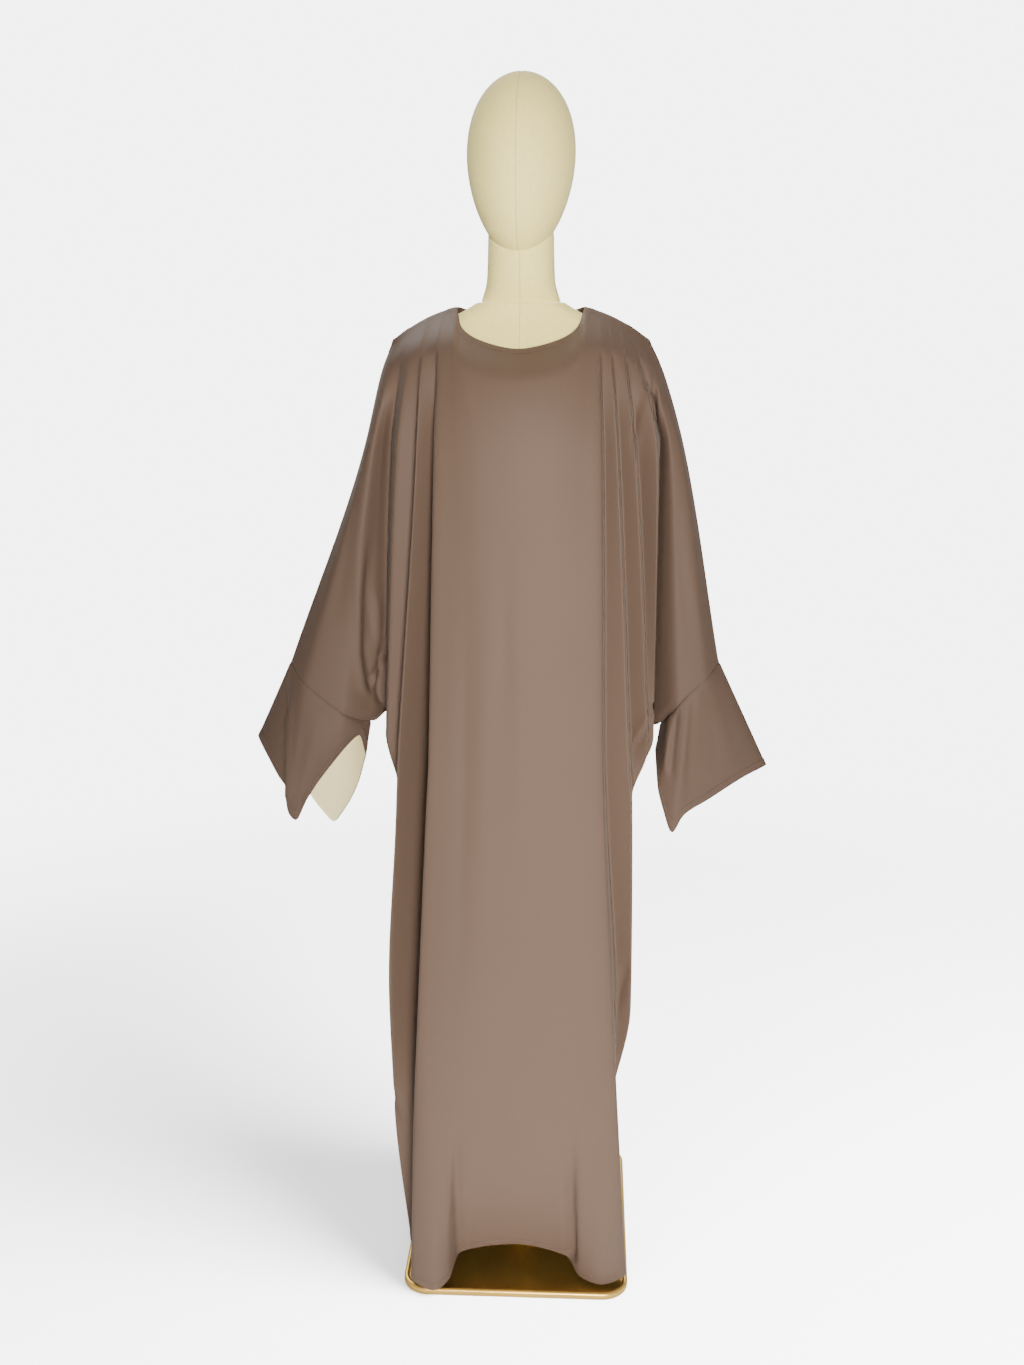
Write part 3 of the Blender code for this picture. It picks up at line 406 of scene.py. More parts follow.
BACK_CREASES = (
    Crease("trough", 10, 2.4, 0.45, 0.45, ((-100, 1400), (-85, 1300), (-60, 1190))),
    Crease("trough", 11, 2.6, 0.45, 0.45, ((104, 1400), (88, 1290), (58, 1170))),
    Crease("ridge", 12, 1.8, 0.45, 0.45, ((-20, 1360), (-16, 1240), (-10, 1060))),
    Crease("trough", 6.5, 6, 0.4, 0.15, ((-170, 1060), (-188, 960), (-206, 880))),
    Crease("ridge", 7.5, 3.6, 0.4, 0.2, ((-186, 1070), (-203, 970), (-220, 890))),
    Crease("trough", 6.5, 5.6, 0.4, 0.15, ((172, 1050), (186, 955), (200, 882))),
    Crease("ridge", 7.5, 3.2, 0.4, 0.2, ((188, 1080), (202, 980), (214, 900))),
    Crease("trough", 11, 2.4, 0.4, 0.4, ((-214, 1250), (-246, 1090), (-286, 950))),
    Crease("trough", 10, 2.2, 0.4, 0.4, ((218, 1230), (240, 1080), (258, 950))),
    Crease("trough", 6, 3.4, 0.6, 0.05, ((-56, 300), (-54, 160), (-55, 30))),
    Crease("trough", 6, 3.4, 0.6, 0.05, ((60, 330), (58, 170), (58, 30))),
    Crease("trough", 7, 3, 0.6, 0.05, ((-122, 260), (-118, 140), (-115, 30))),
    Crease("ridge", 8, 2.4, 0.6, 0.05, ((90, 280), (86, 150), (84, 30))),
    Crease("trough", 10, 1.4, 0.45, 0.45, ((-20, 900), (-18, 700), (-20, 480))),
    Crease("trough", 10, 1.4, 0.45, 0.45, ((24, 820), (24, 620), (22, 400))),
)
CREASES = {
    "front_panel": FRONT_CREASES,
    "back_panel": BACK_CREASES,
    "cuff_left": (
        Crease("step", 6, 6, 0.4, 0.02, ((-333, 928), (-336, 890), (-341, 830), (-344, 740))),
        Crease("trough", 7, 1.6, 0.3, 0.2, ((-306, 860), (-318, 800), (-324, 740))),
        Crease("ridge", 9, 1.6, 0.3, 0.2, ((-290, 880), (-296, 830), (-302, 770))),
    ),
    "cuff_right": (
        Crease("trough", 6, 2.6, 0.2, 0.1, ((249, 924), (248, 860), (248, 800), (252, 725))),
        Crease("step", 4.5, -3.5, 0.2, 0.2, ((224, 892), (219, 840), (215, 780))),
        Crease("ridge", 9, 1.6, 0.25, 0.15, ((262, 920), (268, 850), (274, 770))),
        Crease("trough", 9, 1.4, 0.25, 0.15, ((284, 920), (302, 860), (322, 800))),
    ),
}


# ---- lattice
def smooth_through(knots, values, at):
    """Monotone cubic through the values, so that no fold overshoots its neighbours."""
    knots, values, at = (np.asarray(given, float) for given in (knots, values, at))
    step = np.diff(knots)
    shape = (-1,) + (1,) * (values.ndim - 1)
    width = step.reshape(shape)
    slope = np.diff(values, axis=0) / width
    tangent = np.zeros_like(values)
    tangent[0] = slope[0]
    tangent[-1] = slope[-1]
    before = slope[:-1]
    after = slope[1:]
    weight_a = 2 * width[1:] + width[:-1]
    weight_b = width[1:] + 2 * width[:-1]
    same_way = before * after > 0
    safe_before = np.where(same_way, before, 1.0)
    safe_after = np.where(same_way, after, 1.0)
    mean = (weight_a + weight_b) / (weight_a / safe_before + weight_b / safe_after)
    tangent[1:-1] = np.where(same_way, mean, 0.0)
    span = np.clip(np.searchsorted(knots, at, side="right") - 1, 0, len(step) - 1)
    t = ((at - knots[span]) / step[span]).reshape(shape)
    wide = width[span]
    rise = 3 * t**2 - 2 * t**3
    start_pull = (t**3 - 2 * t**2 + t) * wide * tangent[span]
    end_pull = (t**3 - t**2) * wide * tangent[span + 1]
    return values[span] * (1 - rise) + values[span + 1] * rise + start_pull + end_pull


def even_steps(knots, counts):
    """Positions with counts[i] equal steps between knots i and i + 1."""
    found = [knots[0]]
    for low, high, count in zip(knots, knots[1:], counts):
        found.extend(np.linspace(low, high, count + 1)[1:])
    return np.array(found)


def edged(positions, edge, steps, side):
    """The positions, with those near one side of an edge replaced by the edge plus the steps."""
    steps = np.array(steps)
    apart = (positions - edge) * side
    clear = (apart < steps[0] / 2) | (apart > STEPS_CLEAR * steps[-1])
    return np.sort(np.concatenate((positions[clear], edge + side * steps)))


def eased(t):
    """0 to 1 with level ends."""
    t = np.clip(t, 0.0, 1.0)
    return t * t * (3 - 2 * t)


def top_edge(x, facing):
    """A point of the shoulder seam, or of the neckline inside it; facing is -1 in front, 1 behind."""
    if abs(x) >= NECK_HALF:
        along = (abs(x) - NECK_HALF) / (SHOULDER_TIP - NECK_HALF)
        fall = (NECK_SIDE_Z - SHOULDER_TIP_Z) * along
        crown = SHOULDER_ROUND * 4 * along * (1 - along)
        return (x, SHOULDER_Y, NECK_SIDE_Z - fall + crown)
    round_in = np.sqrt(1 - (x / NECK_HALF) ** 2)
    drop, reach = NECK_FRONT if facing < 0 else NECK_BACK
    return (x, SHOULDER_Y + facing * reach * round_in, NECK_SIDE_Z - drop * round_in)


def underarm_point(bust, end, closing):
    """Just above the hip or a sleeve's end. Where the line closes, front and back stay apart."""
    part = (UNDERARM_S - BUST_S) / (HIP_S - BUST_S)
    point = np.array(bust) + part * (np.array(end) - np.array(bust))
    if closing:
        point[1] = bust[1] + UNDERARM_CLOSED * (end[1] - bust[1])
    return point


def plain_round(x, facing):
    """How far forward or back a body without folds would reach at x."""
    depth = ROUND_FRONT if facing < 0 else ROUND_BACK
    return SHOULDER_Y + facing * depth * (1 - (x / ROUND_HALF) ** 2) ** ROUND_POWER


def chest_point(top, bust, facing, folded):
    """Where a line has rounded over the chest or the shoulder blade, its fold not yet deep."""
    x, y, z = bust
    if folded:
        fall = CHEST_FALL if facing < 0 else BLADE_FALL
        y = plain_round(x, facing) + FOLD_LEFT * (y - plain_round(x, facing))
    else:
        fall = (CHEST_FALL + BLADE_FALL) / 2
    part = np.array((CHEST_SPREAD, CHEST_REACH, fall))
    return np.array(top) + part * (np.array((x, y, z)) - np.array(top))


def body_line(fold, facing):
    top = top_edge(fold.top_x, facing)
    bust = (fold.bust_x, fold.bust_y, BUST_Z)
    hip = (fold.hip_x, fold.hip_y, HIP_Z + UNDERARM_LIFT.get(fold.name, 0.0))
    return (
        top,
        chest_point(top, bust, facing, True),
        bust,
        underarm_point(bust, hip, fold.name in SIDE_LINES),
        hip,
        (fold.thigh_x, fold.thigh_y, THIGH_Z),
        (fold.knee_x, fold.knee_y, KNEE_Z),
        (fold.calf_x, fold.calf_y, CALF_Z),
        (fold.hem_x, fold.hem_y, fold.hem_z),
    )


def sleeve_line(line, facing):
    top = top_edge(line.top_x, facing)
    bust = (line.bust_x, line.front_y if facing < 0 else line.back_y, BUST_Z)
    end_y = line.end_front_y if facing < 0 else line.end_back_y
    end = (line.end_x, end_y, line.end_z)
    return (
        top,
        chest_point(top, bust, facing, line.name != "overarm seam"),
        bust,
        underarm_point(bust, end, line.name == "cuff inner end"),
        end,
    )


# One half of the garment: its points by column and row, the columns of its two side seams and of
# the neckline's two ends, how many columns a sleeve has and where they lie in steps of the CAD's
# cuff, and the row of the underarm.
Half = namedtuple("Half", "points left right neck_left neck_right sleeve steps hip")


def half_lattice(folds, facing):
    """All columns of the front or the back. Below the hip only the body's columns hold points."""
    upper_knots = (TOP_S, CHEST_S, BUST_S, UNDERARM_S, HIP_S)
    upper_rows = edged(even_steps(upper_knots, ROWS_TO_HIP), TOP_S, HEM_STEPS, 1)
    upper_rows = edged(upper_rows, HIP_S, SEAM_STEPS, -1)
    all_knots = upper_knots + (THIGH_S, KNEE_S, CALF_S, HEM_S)
    rows = edged(even_steps(all_knots[4:], ROWS_TO_HEM), HEM_S, HEM_STEPS, -1)
    hip = len(upper_rows) - 1

    sleeve_left = [sleeve_line(line, facing) for line in reversed(SLEEVE_LEFT)]
    sleeve_right = [sleeve_line(line, facing) for line in SLEEVE_RIGHT]
    body = [body_line(fold, facing) for fold in folds]
    stations = sleeve_left + [line[: len(upper_knots)] for line in body] + sleeve_right
    station_at = np.arange(len(stations))
    arm_end = len(SLEEVE_RIGHT) - 1
    body_end = len(body) - 1
    seam_steps = np.array(SEAM_STEPS) / FOLD_STEP

    cuff_steps = [line.cols for line in SLEEVE_RIGHT[:-1]]
    arm_at = even_steps(np.arange(arm_end + 1), [SLEEVE_FINER * cols for cols in cuff_steps])
    arm_at = edged(arm_at, arm_end, seam_steps, -1)
    body_at = even_steps(np.arange(len(body)), [BODY_FINER * fold.cols for fold in folds[:-1]])
    body_at = edged(edged(body_at, 0, seam_steps, 1), body_end, seam_steps, -1)
    underarm_at = np.linspace(0, 1, SLEEVE_FINER * UNDERARM_COLS + 1)[1:-1]
    column_at = np.concatenate(
        (
            (arm_end - arm_at)[::-1],
            arm_end + underarm_at,
            arm_end + 1 + body_at,
            arm_end + 1 + body_end + underarm_at,
            arm_end + 2 + body_end + arm_at,
        )
    )
    upper = smooth_through(upper_knots, np.array(stations).transpose(1, 0, 2), upper_rows)
    upper = smooth_through(station_at, upper.transpose(1, 0, 2), column_at)
    lower = smooth_through(all_knots, np.array(body).transpose(1, 0, 2), rows)
    lower = smooth_through(np.arange(len(body)), lower.transpose(1, 0, 2), body_at)

    left = len(arm_at) + len(underarm_at)
    right = left + len(body_at) - 1
    points = np.full((len(column_at), hip + len(rows), 3), np.nan)
    points[:, : hip + 1] = upper
    points[left : right + 1, hip + 1 :] = lower[:, 1:]
    tops = [fold.top_x for fold in folds]
    neck_left = left + int(np.argmin(np.abs(body_at - tops.index(-NECK_HALF))))
    neck_right = left + int(np.argmin(np.abs(body_at - tops.index(NECK_HALF))))
    steps = np.interp(arm_at, np.arange(arm_end + 1), np.cumsum([0] + cuff_steps))
    return Half(points, left, right, neck_left, neck_right, len(arm_at) - 1, steps, hip)


def cuff_lattice(seam, steps, lines):
    """The cuff's points by column, round from its inner end along the front, and by row."""
    around = np.concatenate((steps, 2 * steps[-1] - steps[-2:0:-1]))
    columns = [line.column for line in lines] + [2 * steps[-1]]
    hem_ends = [(line.hem_x, line.hem_y, line.hem_z) for line in lines]
    pushes = [(line.push_x, line.push_y, 0.0) for line in lines]
    hem = smooth_through(columns, hem_ends + hem_ends[:1], around)
    push = smooth_through(columns, pushes + pushes[:1], around)
    points = []
    for start, end, bulge in zip(seam, hem, push):
        length = np.linalg.norm(end - start)
        down = np.linspace(SEAM_STEPS[-1], length - HEM_STEPS[-1], CUFF_ROWS)
        down = np.concatenate(((0,), SEAM_STEPS[:-1], down, length - np.array(HEM_STEPS[-2::-1])))
        part = np.append(down, length)[:, None] / length
        points.append(start + part * (end - start) + 4 * part * (1 - part) * bulge)
    return np.array(points)


# ---- garment
def cell_corners(grid, ids, outward):
    """The grid's values at the corners of each cell whose points are real, wound to face out."""
    corners = []
    for values in (grid, ids):
        cells = (values[:-1, :-1], values[:-1, 1:], values[1:, 1:], values[1:, :-1])
        corners.append(np.stack(cells, axis=2).reshape((-1, 4) + values.shape[2:]))
    found = corners[0][(corners[1] >= 0).all(axis=1)]
    return found if outward else found[:, ::-1]


def point_normals(points, quads):
    corner = points[quads]
    across = np.cross(corner[:, 2] - corner[:, 0], corner[:, 3] - corner[:, 1])
    normals = np.zeros_like(points)
    for k in range(4):
        np.add.at(normals, quads[:, k], across)
    return normals / np.linalg.norm(normals, axis=1, keepdims=True)


def along_path(points, path):
    """For each point its signed distance to a path of (x, z) points, and how far along it lies."""
    flat = points[:, (0, 2)]
    lengths = np.linalg.norm(np.diff(path, axis=0), axis=1)
    starts = np.concatenate(((0,), np.cumsum(lengths)))
    best = np.full(len(flat), np.inf)
    signed = np.zeros(len(flat))
    along = np.zeros(len(flat))
    for a, b, length, start in zip(path, path[1:], lengths, starts):
        direction = (b - a) / length
        reach = (flat - a) @ direction
        held = np.clip(reach, 0, length)
        off = flat - a - held[:, None] * direction
        distance = np.linalg.norm(off, axis=1)
        nearer = distance < best
        side = np.sign(direction[0] * off[:, 1] - direction[1] * off[:, 0])
        best = np.where(nearer, distance, best)
        signed = np.where(nearer, side * distance, signed)
        along = np.where(nearer, (start + held) / starts[-1], along)
    return signed, along


def crease_depth(points, creases):
    """How far each point moves out along its normal."""
    moved = np.zeros(len(points))
    for crease in creases:
        signed, along = along_path(points, np.array(crease.path) / 1000)
        near = 1000 * signed / crease.width
        bell = np.exp(-near * near)
        step = STEP_PEAK * near * np.exp(-near * near / STEP_SPREAD)
        shapes = {"ridge": bell, "trough": -bell, "step": step}
        fade = eased(along / crease.start_fade) * eased((1 - along) / crease.end_fade)
        moved += crease.depth / 1000 * fade * shapes[crease.kind]
    return moved


def distance_to(points, numbers):
    """Each point's distance to the nearest of the numbered points."""
    tree = KDTree(len(numbers))
    for number in numbers:
        tree.insert(points[number], int(number))
    tree.balance()
    return np.array([tree.find(point)[2] for point in points])


class Garment:
    """The points of every cloth piece, shared along the seams, and each piece's grid of numbers."""

    def __init__(self):
        self.points = np.zeros((0, 3))
        self.grids = {}
        self.outward = {}
        self.quads = {}
        self.seams = set()
        self.hems = set()
        self.normals = None
        self.to_hem = None
        self.to_seam = None

    def add(self, points):
        first = len(self.points)
        self.points = np.concatenate((self.points, points))
        return np.arange(first, first + len(points))

    def add_piece(self, name, ids, outward):
        self.grids[name] = ids
        self.outward[name] = outward
        self.quads[name] = cell_corners(ids, ids, outward)

    def set_normals(self):
        self.normals = point_normals(self.points, np.concatenate(list(self.quads.values())))

    def crease(self):
        """Creases each piece, presses the seams in and thickens the turned-up hems."""
        self.set_normals()
        self.to_seam = distance_to(self.points, sorted(self.seams))
        self.to_hem = distance_to(self.points, sorted(self.hems))
        proud = np.zeros(len(self.points))
        for name, quads in self.quads.items():
            used = np.unique(quads)
            calm = eased(self.to_seam[used] / SEAM_CALM)
            proud[used] += calm * crease_depth(self.points[used], CREASES[name])
        proud -= SEAM_DIP * np.exp(-((self.to_seam / SEAM_HALF) ** 2))
        proud += HEM_RAISE * (1 - eased((self.to_hem - HEM_BAND) / HEM_SLOPE + 0.5))
        self.points = self.points + proud[:, None] * self.normals
        self.set_normals()


def shoulder_and_side_seams(half):
    """Which points of the back's grid are sewn to the front's."""
    sewn = np.zeros(half.points.shape[:2], bool)
    sewn[: half.neck_left + 1, 0] = True
    sewn[half.neck_right :, 0] = True
    sewn[0, : half.hip + 1] = True
    sewn[-1, : half.hip + 1] = True
    sewn[half.sleeve : half.left + 1, half.hip] = True
    sewn[half.right : len(sewn) - half.sleeve, half.hip] = True
    sewn[half.left, half.hip :] = True
    sewn[half.right, half.hip :] = True
    return sewn


def make_garment():
    front = half_lattice(FRONT_FOLDS, -1)
    back = half_lattice(BACK_FOLDS, 1)
    garment = Garment()
    front_ids = np.full(front.points.shape[:2], -1)
    real = ~np.isnan(front.points[:, :, 0])
    front_ids[real] = garment.add(front.points[real])

    back_ids = np.full(back.points.shape[:2], -1)
    sewn = shoulder_and_side_seams(back)
    column, row = np.nonzero(sewn)
    wider = len(front_ids) - len(back_ids)
    same_column = np.where(column <= back.neck_left, column, column + wider)
    back_ids[sewn] = front_ids[same_column, row]
    own = ~np.isnan(back.points[:, :, 0]) & ~sewn
    back_ids[own] = garment.add(back.points[own])
    garment.seams.update(back_ids[sewn])
    for half, ids in ((front, front_ids), (back, back_ids)):
        garment.hems.update(ids[half.left : half.right + 1, -1])
        garment.hems.update(ids[half.neck_left : half.neck_right + 1, 0])
    garment.add_piece("front_panel", front_ids, True)
    garment.add_piece("back_panel", back_ids, False)

    last = len(front_ids) - 1
    for name, lines, around, shift in (
        ("cuff_left", CUFF_LEFT, np.arange(front.sleeve, -1, -1), 0),
        ("cuff_right", CUFF_RIGHT, np.arange(last - front.sleeve, last + 1), wider),
    ):
        behind = back_ids[around - shift, back.hip][-2:0:-1]
        ring = np.concatenate((front_ids[around, front.hip], behind))
        points = cuff_lattice(garment.points[ring], front.steps, lines)
        ids = np.empty(points.shape[:2], int)
        ids[:, 0] = ring
        ids[:, 1:] = garment.add(points[:, 1:].reshape(-1, 3)).reshape(len(ring), -1)
        garment.seams.update(ring)
        garment.hems.update(ids[:, -1])
        garment.add_piece(name, np.concatenate((ids, ids[:1])), name == "cuff_right")
    return garment


# ---- cloth shells
def add_object(name, data):
    made = bpy.data.objects.new(name, data)
    bpy.context.scene.collection.objects.link(made)
    return made


def keep_values(mesh, label, values):
    """Keeps a number for each of the mesh's points, for its material."""
    kept = mesh.attributes.new(label, "FLOAT", "POINT")
    kept.data.foreach_set("value", np.array(values, np.float32))


def stands_for(piece, node):
    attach(piece, "root")
    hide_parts(node)


def rim_edges(quads):
    """Directed edges that only one quad has."""
    edges = np.concatenate([quads[:, (k, (k + 1) % 4)] for k in range(4)])
    size = int(quads.max()) + 1
    forward = edges[:, 0] * size + edges[:, 1]
    backward = edges[:, 1] * size + edges[:, 0]
    return edges[~np.isin(forward, backward)]


def cut_places(garment, ids):
    """Each grid point's distance across and down the cloth, from its middle column and its top."""
    places = []
    for grid in (ids, ids.T):
        steps = np.linalg.norm(np.diff(garment.points[grid], axis=0), axis=2)
        steps[(grid[:-1] < 0) | (grid[1:] < 0)] = 0
        places.append(np.concatenate((np.zeros((1, grid.shape[1])), np.cumsum(steps, axis=0))))
    across, down = places
    return np.stack((across - across[len(ids) // 2], down.T), axis=2)


def cloth_shell(name, garment, ids, outward, layer, finish):
    """A thin closed shell under the garment's outer face."""
    faces = cell_corners(ids, ids, outward)
    used, place = np.unique(faces, return_inverse=True)
    faces = place.reshape(-1, 4)
    normals = garment.normals[used]
    outer = garment.points[used] - layer.under * normals
    if layer.short:
        row_above = np.full(len(garment.points), -1)
        row_above[ids[:, -1]] = ids[:, -2]
        last = row_above[used] >= 0
        up = garment.points[row_above[used[last]]] - garment.points[used[last]]
        outer[last] += layer.short * up / np.linalg.norm(up, axis=1, keepdims=True)
    inner = outer - layer.thick * normals

    count = len(used)
    rim = rim_edges(faces)
    walls = np.stack((rim[:, 1], rim[:, 0], rim[:, 0] + count, rim[:, 1] + count), axis=1)
    corners = np.concatenate((faces, faces[:, ::-1] + count, walls))
    mesh = bpy.data.meshes.new(name)
    mesh.from_pydata(np.concatenate((outer, inner)).tolist(), [], corners.tolist())
    mesh.shade_smooth()
    # A normal of zero leaves the rim's corners to find their own.
    facing = np.concatenate((normals, -normals))[corners.ravel()]
    facing[-walls.size :] = 0
    mesh.normals_split_custom_set(facing.tolist())

    places = cut_places(garment, ids)
    cells = cell_corners(places, ids, outward)
    by_number = np.zeros((len(garment.points), 2))
    by_number[ids[ids >= 0]] = places[ids >= 0]
    rim_places = by_number[used][walls % count]
    layout = np.concatenate((cells, cells[:, ::-1], rim_places)).astype(np.float32)
    mesh.uv_layers.new(name="cut").data.foreach_set("uv", layout.ravel())
    for label, distance in (("seam_distance", garment.to_seam), ("hem_distance", garment.to_hem)):
        keep_values(mesh, label, np.tile(distance[used], 2))
    mesh.materials.append(finish)
    return add_object(name, mesh)


# ---- node trees
def add_node(tree, kind, values=(), **settings):
    """The outputs of a new node with these settings, its inputs set or linked by values."""
    made = tree.nodes.new(kind)
    for name, value in settings.items():
        setattr(made, name, value)
    for socket, value in dict(values).items():
        if isinstance(value, bpy.types.NodeSocket):
            tree.links.new(value, made.inputs[socket])
        else:
            made.inputs[socket].default_value = value
    return made.outputs


def maths(tree, operation, *values):
    return add_node(tree, "ShaderNodeMath", enumerate(values), operation=operation)[0]


def new_tree(kind, name, inputs, outputs):
    """A node group and what it is given. Its sockets are (name, type, default or None)."""
    tree = bpy.data.node_groups.new(name, kind)
    for way, sockets in (("INPUT", inputs), ("OUTPUT", outputs)):
        for label, socket, default in sockets:
            made = tree.interface.new_socket(
                name=label, in_out=way, socket_type="NodeSocket" + socket
            )
            if default is not None:
                made.default_value = default
    return tree, add_node(tree, "NodeGroupInput")


# ---- stitches
def stitch_tree():
    """Stitches along every edge path of a mesh: short threads, each lying along the path."""
    inputs = (
        ("Geometry", "Geometry", None),
        ("Pitch", "Float", STITCH_PITCH),
        ("Length", "Float", STITCH_LENGTH),
        ("Thread", "Float", STITCH_THREAD),
        ("Seed", "Int", 1),
        ("Finish", "Material", None),
    )
    outputs = (("Geometry", "Geometry", None),)
    tree, given = new_tree("GeometryNodeTree", "stitches", inputs, outputs)
    path = add_node(tree, "GeometryNodeMeshToCurve", {"Mesh": given["Geometry"]})["Curve"]
    values = {"Curve": path, "Length": given["Pitch"]}
    places = add_node(tree, "GeometryNodeResampleCurve", values, mode="LENGTH")
    way = add_node(tree, "GeometryNodeInputTangent")[0]
    turn = add_node(tree, "FunctionNodeAlignRotationToVector", {"Vector": way}, axis="Z")
    radius = maths(tree, "MULTIPLY", given["Thread"], 0.5)
    values = {"Vertices": THREAD_SIDES, "Radius": radius, "Depth": given["Length"]}
    thread = add_node(tree, "GeometryNodeMeshCylinder", values, fill_type="NGON")
    values = {"Seed": given["Seed"], 2: STITCH_SHORTEST, 3: 1.0}
    shrunk = add_node(tree, "FunctionNodeRandomValue", values, data_type="FLOAT")
    values = {
        "Points": places["Curve"],
        "Instance": thread["Mesh"],
        "Rotation": turn["Rotation"],
        "Scale": shrunk[1],
    }
    sewn = add_node(tree, "GeometryNodeInstanceOnPoints", values)["Instances"]
    real = add_node(tree, "GeometryNodeRealizeInstances", {"Geometry": sewn})["Geometry"]
    values = {"Geometry": real, "Shade Smooth": True}
    smooth = add_node(tree, "GeometryNodeSetShadeSmooth", values)["Geometry"]
    values = {"Geometry": smooth, "Material": given["Finish"]}
    finished = add_node(tree, "GeometryNodeSetMaterial", values)["Geometry"]
    add_node(tree, "NodeGroupOutput", {"Geometry": finished})
    return tree


def stitch_row(name, tree, points, finish, seed):
    """A closed row of stitches along the points, as one plain mesh."""
    count = len(points)
    mesh = bpy.data.meshes.new(name)
    mesh.from_pydata(points.tolist(), [(i, (i + 1) % count) for i in range(count)], [])
    path = add_object(name + "_path", mesh)
    sewing = path.modifiers.new("stitches", "NODES")
    sewing.node_group = tree
    values = {
        "Pitch": STITCH_PITCH,
        "Length": STITCH_LENGTH,
        "Thread": STITCH_THREAD,
        "Seed": seed,
        "Finish": finish,
    }
    for socket in tree.interface.items_tree:
        if socket.name in values:
            sewing[socket.identifier] = values[socket.name]
    graph = bpy.context.evaluated_depsgraph_get()
    made = bpy.data.meshes.new_from_object(path.evaluated_get(graph))
    bpy.data.objects.remove(path)
    piece = add_object(name, made)
    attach(piece, "root")


# ---- dress form
def ringed_body(name, points, rings, sharp, finish):
    """A closed body through level rings of points, lowest first. Edges over sharp degrees stay
    sharp."""
    ids = np.arange(len(points)).reshape(rings, -1)
    ids = np.concatenate((ids, ids[:, :1]), axis=1)
    faces = cell_corners(ids, ids, False).tolist()
    faces.append(ids[0, :-1][::-1].tolist())
    faces.append(ids[-1, :-1].tolist())
    mesh = bpy.data.meshes.new(name)
    mesh.from_pydata(points.tolist(), [], faces)
    mesh.shade_smooth()
    mesh.set_sharp_from_angle(angle=np.radians(sharp))
    mesh.materials.append(finish)
    return add_object(name, mesh)


def oval_loft(name, sections, rings, squareness, finish):
    """A closed body through level ovals, which are slightly square above a squareness of 2."""
    rows = np.array(sections)
    at = np.linspace(0, len(rows) - 1, rings)
    rows = smooth_through(np.arange(len(rows)), rows, at)
    angle = np.linspace(0, 2 * np.pi, FORM_SIDES, endpoint=False)
    power = 2 / squareness
    across = np.sign(np.cos(angle)) * np.abs(np.cos(angle)) ** power
    along = np.sign(np.sin(angle)) * np.abs(np.sin(angle)) ** power
    z, half_width, front, back = (rows[:, k, None] for k in range(4))
    x = half_width * across
    y = (front + back) / 2 + (back - front) / 2 * along
    points = np.stack((x, y, z + 0 * x), axis=2).reshape(-1, 3)
    piece = ringed_body(name, points, rings, FORM_SHARP, finish)
    keep_values(piece.data, "cover_seam", points[:, 0])
    return piece


def egg_head(name, finish):
    """The head's egg, narrower towards the chin, with the cover's seam pressed into it."""
    mesh = bpy.data.meshes.new(name)
    build = bmesh.new()
    bmesh.ops.create_uvsphere(build, u_segments=HEAD_SEGMENTS, v_segments=HEAD_RINGS, radius=1.0)
    turn = Matrix.Rotation(np.radians(-HEAD_TURN), 3, "Z")
    centre = Vector(HEAD_CENTRE)
    away = []
    for vert in build.verts:
        a, b, c = vert.co
        taper = 1 + HEAD_TAPER * c
        x = a * HEAD_HALF[0] * taper
        y = b * HEAD_HALF[1] * taper + CHIN_FORWARD * c
        z = c * HEAD_HALF[2]
        off = x - COVER_SEAM_BOW * (1 - c * c)
        away.append(off)
        dip = COVER_SEAM_DIP * np.exp(-((off / COVER_SEAM_HALF) ** 2))
        vert.co = centre + turn @ (Vector((x, y, z)) * (1 - dip / HEAD_HALF[1]))
    build.to_mesh(mesh)
    build.free()
    mesh.shade_smooth()
    keep_values(mesh, "cover_seam", away)
    mesh.materials.append(finish)
    return add_object(name, mesh)


def make_form(linen):
    torso = oval_loft("torso_cover", TORSO, TORSO_RINGS, TORSO_SQUARENESS, linen)
    stands_for(torso, "form_torso")
    neck = oval_loft("neck_cover", NECK, NECK_RINGS, NECK_SQUARENESS, linen)
    stands_for(neck, "form_neck")
    stands_for(egg_head("head_cover", linen), "form_head")


# ---- stand
def rounded_outline(half_width, half_depth, corner):
    """Points round a rectangle with round corners, counter-clockwise from its right side."""
    part = np.arange(PLATE_CORNER_STEPS + 1) / PLATE_CORNER_STEPS
    points = []
    for quarter, (side_x, side_y) in enumerate(((1, 1), (-1, 1), (-1, -1), (1, -1))):
        angle = np.pi / 2 * (quarter + part)
        x = side_x * (half_width - corner) + corner * np.cos(angle)
        y = side_y * (half_depth - corner) + corner * np.sin(angle)
        points.append(np.column_stack((x, y)))
    return np.concatenate(points)


def plate_profile():
    """(inset, height) pairs up the plate's side, over its bead and down to its field."""
    bead = PLATE_RIM / 2
    field = PLATE_THICK - PLATE_RECESS
    eased_by = PLATE_EDGE * PLATE_EASING
    profile = [(PLATE_EDGE, 0.0), (eased_by, eased_by), (0.0, PLATE_EDGE)]
    for angle in np.linspace(0, np.pi, PLATE_BEAD_STEPS):
        z = PLATE_THICK - bead + bead * np.sin(angle)
        if angle < np.pi / 2 or z > field:
            profile.append((bead - bead * np.cos(angle), z))
    profile.append((profile[-1][0] + PLATE_FIELD_STEP, field))
    return profile


def make_plate(gold):
    """A pressed plate: an eased foot, an upright side, a round bead and a flat field inside it."""
    profile = plate_profile()
    rings = []
    for inset, z in profile:
        ring = rounded_outline(PLATE_WIDTH / 2 - inset, PLATE_DEPTH / 2 - inset, PLATE_CORNER - inset)
        rings.append(np.column_stack((ring, np.full(len(ring), z))))
    plate = ringed_body("plate", np.concatenate(rings), len(rings), PLATE_SHARP, gold)
    stands_for(plate, "base_plate")
    for node in ("stand_pole", "pole_foot", "pole_socket"):
        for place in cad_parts[node].material_slots:
            place.material = gold


